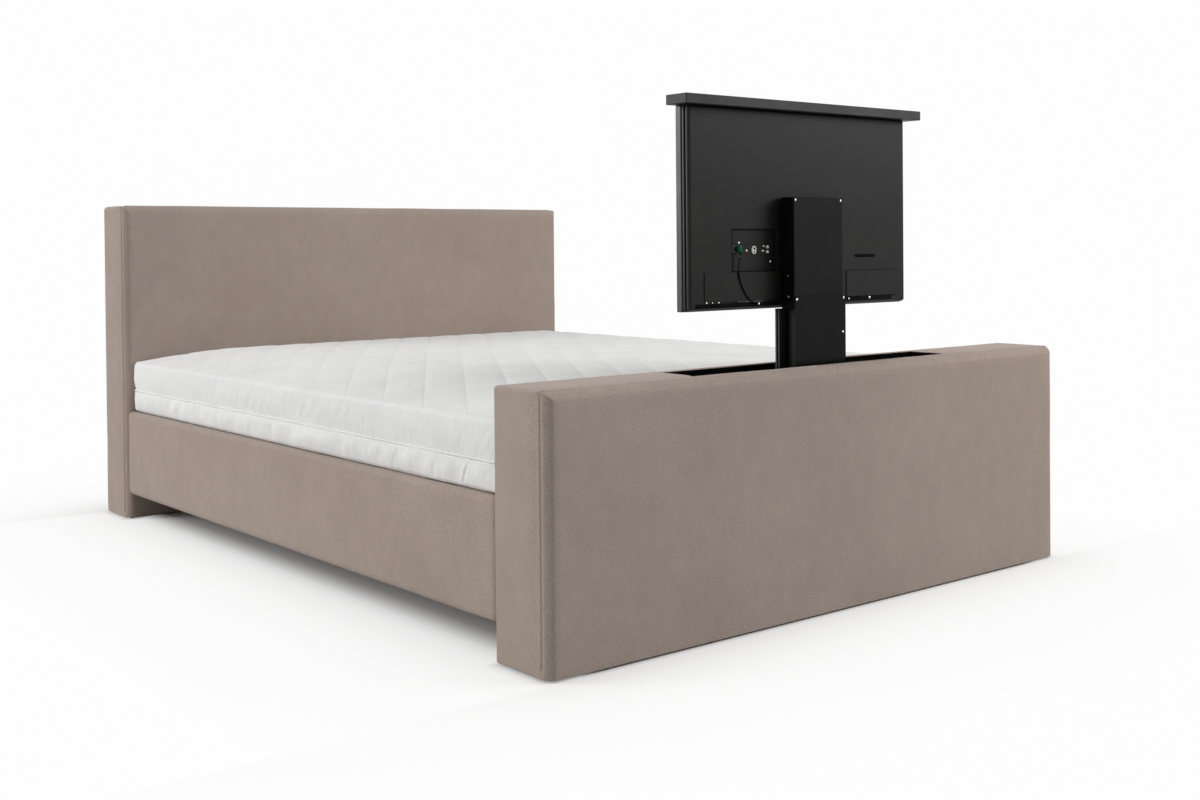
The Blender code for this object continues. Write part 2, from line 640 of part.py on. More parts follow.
def smooth_route(points, steps):
    """Smooth curve through the points, which leaves and arrives straight."""
    first = points[0] + (points[0] - points[1])
    last = points[-1] + (points[-1] - points[-2])
    row = [first] + points + [last]
    made = []
    for i in range(1, len(row) - 2):
        a, b, c, d = row[i - 1:i + 3]
        for k in range(steps):
            t = k / steps
            made.append(0.5 * (2 * b + (c - a) * t + (2 * a - 5 * b + 4 * c - d) * t ** 2
                               + (3 * b - a - 3 * c + d) * t ** 3))
    made.append(points[-1])
    return made


def lead_curve(name, finish, points, radius, parent):
    """Round cord along a row of points."""
    curve = bpy.data.curves.new(name, "CURVE")
    curve.dimensions = "3D"
    curve.bevel_depth = radius
    curve.bevel_resolution = 2
    curve.use_fill_caps = True
    strand = curve.splines.new("POLY")
    strand.points.add(len(points) - 1)
    for slot, point in zip(strand.points, points):
        slot.co = (*(point - points[0]), 1)
    curve.materials.append(finish)
    item = bpy.data.objects.new(name, curve)
    bpy.context.scene.collection.objects.link(item)
    item.parent = parent
    item.location = points[0] - parent.location
    return item


def lid(plastic, parent):
    """Lid on the television, which drops into the slot when the lift is down."""
    half = LID_LENGTH / 2
    return block("lid", plastic, (-half, LID_IN - LID_DEPTH, LID_LOW), (half, LID_IN, LID_TOP),
                 LID_EDGE, 1, parent)


# Telescopic lift

def channel_outline(half, out, inner, wall):
    """Three-sided section that is open towards the television."""
    return [(-half, inner), (-half, out), (half, out), (half, inner), (half - wall, inner),
            (half - wall, out + wall), (-half + wall, out + wall), (-half + wall, inner)]


def channel(name, finish, half, out, inner, wall, low, high, parent=None):
    """Upright length of three-sided section."""
    mesh = outline_mesh(name, channel_outline(half, out, inner, wall), high - low, "Z")
    place = Vector((0, 0, (low + high) / 2))
    item = add(name, mesh, finish, place)
    if parent:
        item.parent = parent
        item.location = place - parent.location
    return item


def screw(name, finish, x, z, face, depth, parent):
    """Pan head screw that points away from the foot end."""
    profile = [(0, -depth), (SCREW_SHANK_RADIUS, -depth), (SCREW_SHANK_RADIUS, SEAT_GAP),
               (SCREW_HEAD_RADIUS, SEAT_GAP), (SCREW_HEAD_RADIUS, SEAT_GAP + SCREW_HEAD_HEIGHT / 2),
               (SCREW_HEAD_RADIUS / 2, SEAT_GAP + SCREW_HEAD_HEIGHT), (0, SEAT_GAP + SCREW_HEAD_HEIGHT)]
    item = add(name, turned_mesh(name, profile, ROUND_SIDES // 2), finish, (x, face, z), parent)
    item.rotation_euler = (math.radians(90), 0, 0)
    return item


def screw_hole(item, x, z, face, finish):
    """Clearance hole for a screw through a plate that faces the foot end."""
    mesh = turned_mesh(item.name + "_hole", [(0, -OVERRUN), (SCREW_SHANK_RADIUS + SEAT_GAP, -OVERRUN),
                       (SCREW_SHANK_RADIUS + SEAT_GAP, OVERRUN), (0, OVERRUN)], ROUND_SIDES // 2)
    cutter = add(item.name + "_hole", mesh, finish, (x, face, z))
    cutter.rotation_euler = (math.radians(90), 0, 0)
    return cut(item, as_cutter(cutter))


def guide_outline(side):
    """Section of a guide rail with its ball race on the outer side."""
    near = STAGE_HALF + SEAT_GAP
    far = GUIDE_OUT_X
    low, high = STAGE_IN - GUIDE_DEPTH, STAGE_IN
    third = GUIDE_DEPTH / 3
    points = [(near, low), (far, low), (far, low + third), (far - GUIDE_GROOVE, low + third),
              (far - GUIDE_GROOVE, high - third), (far, high - third), (far, high), (near, high)]
    return [(side * x, y) for x, y in points]


def lift_base(steel, bright):
    """Fixed channel on the footboard's outer board, with the spindle that drives the middle stage."""
    channel("lift_base_channel", steel, BASE_HALF, BOARD_INNER_FACE + SEAT_GAP, STAGE_IN, BASE_WALL,
            CAVITY_FLOOR, CAVITY_TOP - BASE_TOP_CLEARANCE)
    drive_top = CAVITY_FLOOR + DRIVE_HEIGHT
    block("spindle_drive", steel, (STAGE_HALF + RUN_GAP, CHANNEL_BACK_FACE + SEAT_GAP, CAVITY_FLOOR),
          (BASE_HALF - BASE_WALL - SEAT_GAP, GUIDE_OUT_Y - RUN_GAP, drive_top))
    spindle_top = STAGE_LOW + NUT_ABOVE_STAGE_FOOT + NUT_HEIGHT + SPINDLE_PAST_NUT
    rod("lift_spindle", bright, SPINDLE_RADIUS, SPINDLE_X, SPINDLE_Y, drive_top + SEAT_GAP, spindle_top)


def spindle_nut(bright, parent):
    """Nut on the side of the middle stage, which runs along the spindle."""
    low = STAGE_LOW + NUT_ABOVE_STAGE_FOOT
    nut = block("spindle_nut", bright, (STAGE_HALF + SEAT_GAP, SPINDLE_Y - NUT_DEPTH / 2, low),
                (BASE_HALF - BASE_WALL - RUN_GAP, SPINDLE_Y + NUT_DEPTH / 2, low + NUT_HEIGHT), parent=parent)
    bore = rod("spindle_nut_bore", bright, SPINDLE_RADIUS + SEAT_GAP, SPINDLE_X, SPINDLE_Y,
               low - OVERRUN, low + NUT_HEIGHT + OVERRUN)
    return cut(nut, as_cutter(bore))


def lift_middle(steel, cover_finish, bright, parent):
    """Middle stage: a cover open towards the television, with a guide rail on each side."""
    cover = channel("lift_middle_cover", cover_finish, STAGE_HALF, STAGE_OUT, STAGE_IN, STAGE_WALL,
                    STAGE_LOW, STAGE_TOP, parent)
    cut_box(cover, "shoulder", (-STAGE_HALF - OVERRUN, STAGE_OUT + STAGE_WALL, TV_LOW),
            (STAGE_HALF + OVERRUN, STAGE_IN + OVERRUN, STAGE_TOP + OVERRUN), steel)
    for word, side in (("left", -1), ("right", 1)):
        mesh = outline_mesh("lift_guide_" + word, guide_outline(side), TV_LOW - STAGE_LOW, "Z")
        item = add("lift_guide_" + word, mesh, steel, (0, 0, (TV_LOW + STAGE_LOW) / 2))
        item.parent = parent
        item.location -= parent.location
        x = side * (STAGE_HALF - SCREW_FROM_SIDE)
        z = STAGE_TOP - SCREW_FROM_TOP
        screw("cover_screw_" + word, bright, x, z, STAGE_OUT, STAGE_WALL, parent)
        screw_hole(cover, x, z, STAGE_OUT, steel)
    spindle_nut(bright, parent)


def lift_carriage(steel, cover_finish, bright, parent):
    """Top stage: the housing behind the television, its inner rail and its mount plate."""
    half = CARRIAGE_WIDTH / 2
    housing = block("lift_carriage", cover_finish, (-half, CARRIAGE_OUT, CARRIAGE_LOW),
                    (half, RAIL_ENDS, CARRIAGE_TOP), CARRIAGE_EDGE, 1, parent)
    room = CARRIAGE_WALL
    cut_box(housing, "hollow", (-half + room, CARRIAGE_OUT + room, CARRIAGE_LOW - OVERRUN),
            (half - room, RAIL_ENDS + OVERRUN, CARRIAGE_TOP - room), steel)
    rail_half = half - room - SEAT_GAP
    rail_top = CARRIAGE_TOP - room - SEAT_GAP
    channel("lift_inner_rail", steel, rail_half, CARRIAGE_OUT + room + SEAT_GAP, RAIL_ENDS, INNER_RAIL_WALL,
            CARRIAGE_LOW - INNER_RAIL_BELOW_CARRIAGE, rail_top, parent)
    mount_top = CARRIAGE_TOP - CARRIAGE_EDGE
    block("tv_mount_plate", steel, (-MOUNT_WIDTH / 2, MOUNT_BACK, mount_top - MOUNT_HEIGHT),
          (MOUNT_WIDTH / 2, TV_BACK - SEAT_GAP, mount_top), parent=parent)
    for word, side in (("left", -1), ("right", 1)):
        x = side * (half - SCREW_FROM_SIDE)
        z = CARRIAGE_TOP - SCREW_FROM_TOP
        screw("carriage_screw_" + word, bright, x, z, CARRIAGE_OUT, CARRIAGE_WALL, parent)
        screw_hole(housing, x, z, CARRIAGE_OUT, steel)


def build():
    """Make every piece of the bed."""
    clear_scene()
    fabric = material("upholstery_fabric", (0.33, 0.29, 0.25), 0.9)
    ticking = material("mattress_fabric", (0.80, 0.80, 0.81), 0.85)
    wood = material("board_wood", (0.62, 0.47, 0.30), 0.7)
    dark_board = material("board_black", (0.02, 0.02, 0.02), 0.9)
    rubber = material("skid_rubber", (0.03, 0.03, 0.03), 0.8)
    steel = material("lift_steel", (0.12, 0.12, 0.12), 0.45, 1)
    bright = material("bright_steel", (0.72, 0.72, 0.72), 0.25, 1)
    black = material("tv_plastic", (0.035, 0.035, 0.034), 0.5)
    cover_black = material("lift_cover", (0.02, 0.02, 0.02), 0.45)
    glass = material("screen_glass", (0.01, 0.01, 0.012), 0.08)
    green = material("plug_green", (0.03, 0.30, 0.12), 0.5)
    middle_stage = carrier("lift_middle_axis", LIFT_AXIS)
    top_stage = carrier("lift_carriage_axis", LIFT_AXIS)
    headboard(wood, fabric, rubber)
    footboard(dark_board, fabric, rubber)
    side_rails(wood, fabric, steel)
    slats(wood)
    mattress(ticking)
    lift_base(steel, bright)
    lift_middle(steel, cover_black, bright, middle_stage)
    lift_carriage(steel, cover_black, bright, top_stage)
    television(black, glass, green, bright, top_stage)
    lid(black, top_stage)


build()
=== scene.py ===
"""Looks of an upholstered double bed whose footboard holds a television on a lift.

Metres, +Z up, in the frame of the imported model. Pieces take their places from the model's nodes.
"""
import json
import math
from functools import partial

import bmesh
import bpy
import numpy as np
from mathutils import Matrix, Vector, noise

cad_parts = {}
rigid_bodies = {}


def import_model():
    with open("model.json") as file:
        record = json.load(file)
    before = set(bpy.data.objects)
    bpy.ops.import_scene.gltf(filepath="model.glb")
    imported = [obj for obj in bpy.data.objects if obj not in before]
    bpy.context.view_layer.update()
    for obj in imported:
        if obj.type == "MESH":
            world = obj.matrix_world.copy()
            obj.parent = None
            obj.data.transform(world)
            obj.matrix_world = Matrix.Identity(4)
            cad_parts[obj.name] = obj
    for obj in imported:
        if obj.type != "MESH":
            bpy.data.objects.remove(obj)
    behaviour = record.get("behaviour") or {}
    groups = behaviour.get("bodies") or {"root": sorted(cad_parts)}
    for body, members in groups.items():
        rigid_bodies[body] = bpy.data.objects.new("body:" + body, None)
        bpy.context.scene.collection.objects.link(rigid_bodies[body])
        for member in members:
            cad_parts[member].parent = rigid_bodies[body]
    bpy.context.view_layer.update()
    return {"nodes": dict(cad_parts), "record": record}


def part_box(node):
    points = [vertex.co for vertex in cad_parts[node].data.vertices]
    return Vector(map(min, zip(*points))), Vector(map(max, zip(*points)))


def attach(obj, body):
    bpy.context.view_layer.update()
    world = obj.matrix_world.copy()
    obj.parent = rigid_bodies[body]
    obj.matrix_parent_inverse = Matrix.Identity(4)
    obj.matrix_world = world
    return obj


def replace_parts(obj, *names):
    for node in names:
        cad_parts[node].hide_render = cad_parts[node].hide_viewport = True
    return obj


for item in list(bpy.data.objects):
    bpy.data.objects.remove(item, do_unlink=True)

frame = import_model()

# Camera, at the photograph's place
CAMERA_PLACE = Vector((-2.4182, -3.3787, 0.841))
CAMERA_YAW = 0.6964
CAMERA_PITCH = -0.0148
CAMERA_ROLL = -0.0084
CAMERA_LENS = 42.7
SENSOR_WIDTH = 36
CAMERA_SHIFT = (-0.035, -0.1132)

# Lamps: name, place, target, size, energy
LAMPS = (("key", (-12.0, 9.0, 4.6), (0, -0.3, 0.4), 8.0, 1425),
         ("fill", (3.8, -4.0, 3.0), (0.4, -1.0, 0.4), 2.6, 160),
         ("top", (-0.3, -0.6, 4.2), (0.1, -0.4, 0.3), 3.0, 26))
SKY_STRENGTH = 0.45

# Floor; shade levels are the share of the true shadow that stays, by distance beyond the bed's outline
FLOOR_SIDE = 60.0
FRONT_FADE = 0.15
FRONT_SHADE = 0.68
FRONT_BLEND = 0.015
SIDE_FADE = 0.28
SIDE_SHADE = ((-0.2, 1.0), (-0.13, 1.0), (-0.1, 0.88), (-0.072, 0.66), (-0.045, 0.44), (-0.015, 0.34),
              (0.05, 0.27), (0.11, 0.19), (0.18, 0.12), (0.3, 0.07), (0.6, 0.0))
CONTACT_FADE = 0.035
CONTACT_SHADE = 0.7
CONTACT_ALONG = ((0.0, 1.0), (0.075, 1.0), (0.09, 0.0), (0.91, 0.0), (0.925, 1.0), (1.0, 1.0))
STUDIO_WHITE = 0.985
FLOOR_WHITE = 0.97
FLOOR_BOUNCE = 0.55
FOOTPRINT = (0.83, 1.19)

# Upholstery
PANEL_STEP = 0.012
EDGE_TURNS = 5
LEAST_LINE = 0.0005
PANEL_RISE = 0.024
PANEL_ROLL = 0.022
PANEL_LINES = (0.0015, 0.0035, 0.006, 0.009, 0.012, 0.015, 0.018, 0.021)
FRONT_EDGE = 0.0008
SEAM_CORNER = 0.003
END_EDGE = 0.009
TOP_EDGE = 0.009
FOOT_EDGE = 0.006
FOOT_DROP = 0.0035
HEAD_BACK_ROLL = 0.024
HEAD_TOP_EDGE = 0.012
PANEL_SQUARENESS = 8
PANEL_EDGE_REACH = 3
SEAM_PULL = 0.0035
SEAM_PULL_REACH = 0.024
CORNER_REACH = 0.014
CORNER_SHARE = 0.85
SEAM_BEHIND = 0.0015
RAIL_FACE_EDGE = 0.012
RAIL_END_EDGE = 0.02
RAIL_LONG_EDGE = 0.016
SHELL_THICKNESS = 0.008
SEAM_REACH = (-0.006, -0.0035, -0.002, -0.001, 0, 0.001, 0.002, 0.0035, 0.006)
ROWS_BEHIND = (0.012, 0.02)
BACK_BLEND = (0.004, 0.03)
SEAM_DEPTH = 0.0026
SEAM_WIDTH = 0.0013
SEAM_SWELL = 0.0006
SEAM_SWELL_REACH = 0.005
WAVE = 0.0007
BOARD_WAVES = ((1.0, 7.0, 1.3), (0.35, 21.0, 4.1))
RAIL_WAVES = ((1.0, 6.0, 7.7), (0.4, 19.0, 2.9))
FOOT_CALM = 0.02
SLOT_RIM = 0.0015
RIM_TURNS = 3
SLOT_LIP = 0.009

# Slot in the footboard's top
SLOT_LOW = (-0.41, -1.148)
SLOT_HIGH = (0.432, -1.033)

# Stitches, with their pitch, length and radius
BOARD_STITCH = (0.0065, 0.0046, 0.00045)
STITCH_INSET = 0.0045
STITCH_SUNK = 0.8
STITCH_ENDS = (0.02, 0.012)
STITCH_SIDES = 6
STITCH_PROFILE = ((-0.5, 0.25), (-0.32, 0.85), (0, 1.0), (0.32, 0.85), (0.5, 0.25))

# Television's back, seen from the foot end
OUTLINE_TURNS = 6
JOINT_RISE = 0.0004
FLUSH_DOME = 0.22
FACINGS = {
    "back": ((1, 0, 0), (0, 0, 1), (0, -1, 0)), "left": ((0, -1, 0), (0, 0, 1), (-1, 0, 0)),
    "right": ((0, 1, 0), (0, 0, 1), (1, 0, 0)), "down": ((1, 0, 0), (0, -1, 0), (0, 0, -1)),
}
SHARP = 40
PETAL_TALL = 0.8
PETAL_ROUND = 0.3
PETALS = ((-0.129, 0.832, 0.005), (-0.1165, 0.83, 0.0082), (-0.1315, 0.8212, 0.0056),
          (-0.1168, 0.819, 0.008))
PANEL_SCREWS = ((-0.2063, 0.8398, 0.0052), (-0.204, 0.8085, 0.004), (-0.2067, 0.7967, 0.0024),
                (-0.1822, 0.8221, 0.0046), (-0.1071, 0.7968, 0.0048))
EDGE_SCREWS = ((-0.3109, 0.7079, 0.0046), (-0.2934, 0.7079, 0.0036), (-0.2746, 0.7079, 0.0036),
               (0.2255, 0.7045, 0.0066), (0.1517, 0.7037, 0.0048))
TRIM_ROWS = ((0.0008, 0.0088, 0.0056), (0.01, 0.0164, 0.0032))
LEAD_PLANE = -1.0808
LEAD_RADIUS = 0.0015
LEAD_ROUTE = ((-0.2125, 0.804), (-0.2155, 0.787), (-0.215, 0.77), (-0.211, 0.756), (-0.205, 0.7425),
              (-0.197, 0.729), (-0.188, 0.718), (-0.178, 0.7095), (-0.167, 0.705), (-0.157, 0.7052))
LEAD_TURNS = 6
PLUG_SIDE = 0.0066
PLUG_NECK = 0.0035
PROFILES = {
    "screw": ((0, 0), (0, 0.12), (0.07, 0.24), (0.18, 0.32), (0.3, 0.34), (0.36, 0.2)),
    "socket": ((0, 0), (0, 0.005), (0.0008, 0.006), (0.0024, 0.006), (0.0028, 0.002)),
    "inlet": ((0, 0), (0, 0.002), (0.0006, 0.0026), (0.0015, 0.0026)),
    "hole": ((0, 0.0024), (0, 0.0029), (0.0003, 0.003)),
    "petal": ((0, 0), (0, 0.0014), (0.0007, 0.0022), (0.0016, 0.0024)),
    # recess: a thin flat patch, raised a little, that carries painted shade or a painted shadow band
    "recess": ((0, 0), (0, JOINT_RISE), (0.0009, JOINT_RISE * 2)),
    "lip": ((0, 0), (0, 0.0022), (0.0004, 0.003), (0.0011, 0.0032)),
    "plug": ((0.0012, 0), (0.0004, 0.0008), (0.0004, 0.0034), (0.0016, 0.0042), (0.0016, 0.0058),
             (0.0003, 0.0066), (0, 0.009), (0.0008, 0.0115), (0.0026, 0.0132), (0.0052, 0.0139)),
    "boot": ((0, 0), (0.0003, 0.002), (0.001, 0.0045), (0.0012, 0.007)),
    "saddle": ((0, 0), (0, 0.0028), (0.0006, 0.0038), (0.0018, 0.0042)),
}

# Mattress
QUILT_LENGTH = 0.175
QUILT_LEAN = 0.62
QUILT_START = 0.766
CLOTH_STEP = 0.013
PLAN_RADIUS = 0.02
SOFT_EDGE = 0.01
SOFT_LINES = (0.0012, 0.003, 0.005, 0.0075, 0.01)
CROWN_REACH = 0.3
BORDER_HEIGHT = 0.15
SEAM_SHARE = 0.44
UPPER_BULGE = 0.0025
LOWER_BULGE = 0.003
BORDER_SEAM_DEPTH = 0.0025
BORDER_SEAM_REACH = 0.007
BORDER_SEAM_ROWS = (-0.006, -0.0025, 0, 0.0025, 0.006)
QUILT_LINE = 0.006
QUILT_DASH = 0.007
QUILT_GAP = 0.7
QUILT_DEPTH = 0.0007
QUILT_PUFF = 0.0007
TUFT_DEPTH = 0.0022
QUILT_SOFT = 0.007
TUFT_SOFT = 0.012
PUFF_REACH = 0.045
PUFF_POWER = 0.7
QUILT_TURN = (0.6, 0.3)
QUILT_IN = (0.03, 0.05)
SIDE_TURN = 1.6
TOP_FACING = 0.75
TOP_UNEVEN = 0.3
BORDER_REACH = 0.05
GATHER_DEPTH = 0.015
GATHER_EASE = 1.25
SLANT_DEPTH = 0.008
SLANT_EASE = 1.2
CLUSTER_SHARE = 0.3
SEAM_NEAR = 0.02
RIDGE_SHARE = 0.8
RIDGE_OFF = 1.6
LONG_FOLDS = ((-0.862, 0.003, 0.0038), (-0.742, 0.0008, 0.006), (-0.455, 0.001, 0.008),
              (-0.575, 0.0009, 0.004))
CREASE_DEPTH = 0.0032
CREASE_WIDTH = 0.11
CREASE_LEAST = 0.35
PATCH_SHARE = 0.4
FINE_DEPTH = 0.0012
UNEVENNESS = 0.0014
SLANT_LEAN = 0.8
CREASE_LEAN = -0.5
NOISES = {
    "gathers": ((24.0, 24.0, 11.0), 3.3), "fine": ((70.0, 70.0, 14.0), 9.7), "patches": (5.0, 1.7),
    "slants": ((46.0, 46.0, 9.0), 8.1), "clusters": ((3.5, 3.5, 0.5), 5.2), "hills": (9.0, 6.6),
    "creases": ((13.0, 13.0, 8.0), 12.4),
}
FOLD_LEAN = -0.55
PIPING_RADIUS = 0.0018
PIPING_THIN = 0.8
PIPING_APART = 0.0075
STITCH_DROP = 0.55
CORNER_TURNS = 8
BORDER_STITCH = (0.012, 0.005, 0.0011)
PIN_TOP = 0.004
PIN_QUILT = 0.0045
PIN_CREST = (1.2, 1.6)
PIN_LINE = 0.0005
FILL_CAP = 0.0035
FILL_FRAMES = 20
CLOTH = {
    "quality": 4, "mass": 0.25, "tension_stiffness": 12, "compression_stiffness": 12, "shear_stiffness": 4,
    "bending_stiffness": 0.3, "use_pressure": True, "uniform_pressure_force": 4.0,
    "vertex_group_mass": "pins",
}


# Materials

def feed(tree, socket, source):
    """Give a socket a plain value, a colour or another node's output."""
    if isinstance(source, bpy.types.NodeSocket):
        tree.links.new(source, socket)
    elif socket.type == "RGBA":
        socket.default_value = (*source, 1)
    else:
        socket.default_value = source


def add_node(tree, kind, inputs, **settings):
    """New node, with its inputs by name or number."""
    node = tree.nodes.new(kind)
    for key, value in settings.items():
        setattr(node, key, value)
    for key, source in inputs.items():
        feed(tree, node.inputs[key], source)
    return node


def set_shader(tree, sockets):
    """Feed sockets of a material's own shader."""
    for name, source in sockets.items():
        feed(tree, tree.nodes["Principled BSDF"].inputs[name], source)


def material(name, colour, roughness, metallic=0.0):
    """Principled material, and its node tree."""
    made = bpy.data.materials.new(name)
    made.use_nodes = True
    made.diffuse_color = (*colour, 1)
    set_shader(made.node_tree, {"Base Color": colour, "Roughness": roughness, "Metallic": metallic})
    return made, made.node_tree


def arithmetic(tree, operation, *sources):
    """Math node's output; each source is a number or a socket."""
    return add_node(tree, "ShaderNodeMath", dict(enumerate(sources)), operation=operation).outputs[0]


def field(tree, scale, detail=3.0, stretch=(1, 1, 1), kind="ShaderNodeTexNoise", **more):
    """Procedural texture on the object's own coordinates, and its plain output."""
    place = add_node(tree, "ShaderNodeTexCoord", {}).outputs["Object"]
    turn = add_node(tree, "ShaderNodeMapping", {"Vector": place, "Scale": stretch}).outputs["Vector"]
    return add_node(tree, kind, {"Vector": turn, "Scale": scale, "Detail": detail, **more}).outputs[0]


def grey(level):
    """Neutral colour."""
    return (level, level, level)


def ramp(tree, value, stops):
    """Colour ramp of a value; each stop is a place and a colour or grey level."""
    node = add_node(tree, "ShaderNodeValToRGB", {0: value})
    elements = node.color_ramp.elements
    while len(elements) < len(stops):
        elements.new(0.5)
    for element, (place, tone) in zip(elements, stops):
        element.position = place
        element.color = (*(tone if isinstance(tone, tuple) else grey(tone)), 1)
    return node.outputs[0]


def tones(tree, value, dark, light, reach=0.2):
    """Blend from dark to light over the middle of a texture's range."""
    return ramp(tree, value, ((0.5 - reach, dark), (0.5 + reach, light)))


def blend_colours(tree, how, share, first, second):
    """Mix of two colours; share is a number or a socket."""
    inputs = {0: share, 6: first, 7: second}
    return add_node(tree, "ShaderNodeMix", inputs, data_type="RGBA", blend_type=how).outputs[2]


def product(tree, first, second):
    """Product of two colours."""
    return blend_colours(tree, "MULTIPLY", 1.0, first, second)


def bump(tree, height, strength, distance, below=None):
    """Bump from a height, over another bump if one is given."""
    inputs = {"Height": height, "Strength": strength, "Distance": distance}
    if below is not None:
        inputs["Normal"] = below
    return add_node(tree, "ShaderNodeBump", inputs).outputs["Normal"]


def velour():
    """Brushed taupe upholstery: soft blotches of nap, a fine grain and a little sheen."""
    made, tree = material("velour", (0.368, 0.299, 0.257), 0.92)
    tone = tones(tree, field(tree, 4.5, 4.0), (0.3575, 0.29, 0.25), (0.387, 0.317, 0.274))
    nap = tones(tree, field(tree, 26.0, 4.0, (1, 1, 0.7)), 0.965, 1.035)
    grain = field(tree, 300.0)
    colour = product(tree, product(tree, tone, nap), tones(tree, grain, 0.87, 1.11, 0.18))
    soft = bump(tree, field(tree, 60.0), 0.12, 0.004)
    pile = bump(tree, grain, 0.35, 0.0012, soft)
    fine = bump(tree, field(tree, 900.0, 2.0), 0.25, 0.0006, pile)
    set_shader(tree, {"Base Color": colour, "Normal": fine, "Sheen Weight": 0.1, "Sheen Roughness": 0.45,
                      "Sheen Tint": (0.95, 0.9, 0.86), "Specular IOR Level": 0.2})
    return made


def floor_plan(tree):
    """Object coordinates x and y, as sockets."""
    place = add_node(tree, "ShaderNodeTexCoord", {}).outputs["Object"]
    split = add_node(tree, "ShaderNodeSeparateXYZ", {0: place})
    return split.outputs["X"], split.outputs["Y"]


def quilt_marks(tree, way):
    """Dashed sewn lines of one slanting family: height 0 on a stitch, 1 away from the lines."""
    step = partial(arithmetic, tree)
    x, y = floor_plan(tree)
    run = step("ADD", step("ADD", step("DIVIDE", x, QUILT_LEAN), step("MULTIPLY", y, way)), QUILT_START)
    line = step("DIVIDE", step("PINGPONG", run, QUILT_LENGTH / 2), QUILT_LINE)
    gap = step("DIVIDE", step("PINGPONG", y, QUILT_DASH), QUILT_DASH)
    return step("MINIMUM", step("MAXIMUM", line, step("MULTIPLY", gap, QUILT_GAP)), 1.0)


def ticking(name, quilted):
    """White knitted mattress cover with fine ribs, with or without sewn lines."""
    made, tree = material(name, (0.8, 0.8, 0.795), 0.88)
    tone = tones(tree, field(tree, 9.0, 4.0), (0.775, 0.775, 0.772), (0.815, 0.815, 0.81))
    ribs = tones(tree, field(tree, 26.0, 3.0, (0.22, 0.22, 1.0)), 0.97, 1.02)
    knit = field(tree, 520.0, 0.0, kind="ShaderNodeTexVoronoi")
    folds = bump(tree, field(tree, 34.0, 4.0), 0.22, 0.006)
    if quilted:
        folds = bump(tree, field(tree, 60.0, 3.0, (0.08, 1.0, 1.0)), 0.25, 0.003, folds)
        for way in (-1, 1):
            folds = bump(tree, quilt_marks(tree, way), 0.26, 0.004, folds)
    else:
        folds = bump(tree, field(tree, 30.0, 3.0, (1, 1, 0.35), Distortion=0.8), 0.3, 0.01, folds)
    set_shader(tree, {"Base Color": product(tree, tone, ribs), "Normal": bump(tree, knit, 0.22, 0.001, folds),
                      "Sheen Weight": 0.08, "Specular IOR Level": 0.25})
    return made


def grained(name, colour, roughness, grain_scale, grain_depth, specular=0.5, spread=0.15):
    """Moulded or coated surface with a fine grain and slightly uneven gloss."""
    made, tree = material(name, colour, roughness)
    marks = field(tree, 14.0, 5.0)
    dark, light = (tuple(part * share for part in colour) for share in (1 - spread, 1 + spread))
    gloss = tones(tree, marks, roughness * 0.88, min(roughness * 1.12, 1.0))
    grain = bump(tree, field(tree, grain_scale, 2.0), 0.3, grain_depth)
    set_shader(tree, {"Base Color": tones(tree, marks, dark, light), "Roughness": gloss, "Normal": grain,
                      "Specular IOR Level": specular})
    return made


def timber(name, dark, light, along):
    """Board or slat with its grain along one axis."""
    made, tree = material(name, light, 0.65)
    stretch = tuple(0.06 if axis == along else 1.0 for axis in "XYZ")
    rings = field(tree, 34.0, 6.0, stretch, Distortion=0.6)
    pores = field(tree, 420.0, 2.0, stretch)
    worn = product(tree, tones(tree, rings, dark, light, 0.18), tones(tree, pores, 0.86, 1.04, 0.15))
    set_shader(tree, {"Base Color": worn, "Normal": bump(tree, pores, 0.25, 0.0006)})
    return made


def brushed(name, colour, roughness):
    """Plated metal with fine brushing."""
    made, tree = material(name, colour, roughness, 1.0)
    lines = field(tree, 700.0, 3.0, (1, 1, 0.08))
    gloss = tones(tree, lines, roughness * 0.8, roughness * 1.3)
    set_shader(tree, {"Roughness": gloss, "Normal": bump(tree, lines, 0.15, 0.0003)})
    return made


VELOUR = velour()
TICKING = ticking("ticking", False)
TICKING_QUILTED = ticking("ticking_quilted", True)
# Piping is whiter than the ticking: partly a whiter cord, partly a painted highlight along the cord's ridge.
PIPING_WHITE_AND_HIGHLIGHT = grained("piping_white_and_highlight", (0.9, 0.895, 0.89), 0.7, 900.0, 0.0003, 0.2, spread=0.03)
TV_PLASTIC = grained("tv_plastic", (0.008, 0.008, 0.0076), 0.4, 1100.0, 0.0003, 0.14)
LID_COAT = grained("lid_coat", (0.006, 0.006, 0.0058), 0.5, 700.0, 0.0001, 0.27, spread=0.08)
LIFT_COAT = grained("lift_coat", (0.0036, 0.0036, 0.0034), 0.4, 1500.0, 0.0003, 0.08)
LIFT_MIDDLE = grained("lift_middle", (0.0034, 0.0034, 0.0032), 0.3, 1500.0, 0.0002, 0.08)
LIFT_STEEL = grained("lift_steel", (0.005, 0.005, 0.0048), 0.4, 1500.0, 0.0003, 0.25)
BLACK_BOARD = grained("black_board", (0.004, 0.004, 0.004), 0.9, 500.0, 0.0005, 0.03)
SOCKET_BLACK = grained("socket_black", (0.004, 0.004, 0.004), 0.5, 1200.0, 0.0002)
SOCKET_WHITE = grained("socket_white", (0.66, 0.66, 0.64), 0.5, 1500.0, 0.0002, spread=0.04)
PLUG_GREEN = grained("plug_green", (0.001, 0.098, 0.048), 0.5, 1200.0, 0.0003, 0.12)
LEAD_RUBBER = grained("lead_rubber", (0.003, 0.003, 0.003), 0.6, 1500.0, 0.0002, 0.08)
SKID_RUBBER = grained("skid_rubber", (0.02, 0.02, 0.02), 0.8, 600.0, 0.0006)
TV_TRIM = grained("tv_trim", (0.013, 0.013, 0.0126), 0.34, 1100.0, 0.0002, 0.34)
SHADOW_BLACK = grained("shadow_black", (0.003, 0.003, 0.003), 0.8, 900.0, 0.0002, 0.05)
GLASS = grained("screen_glass", (0.006, 0.006, 0.007), 0.12, 300.0, 0.00002)
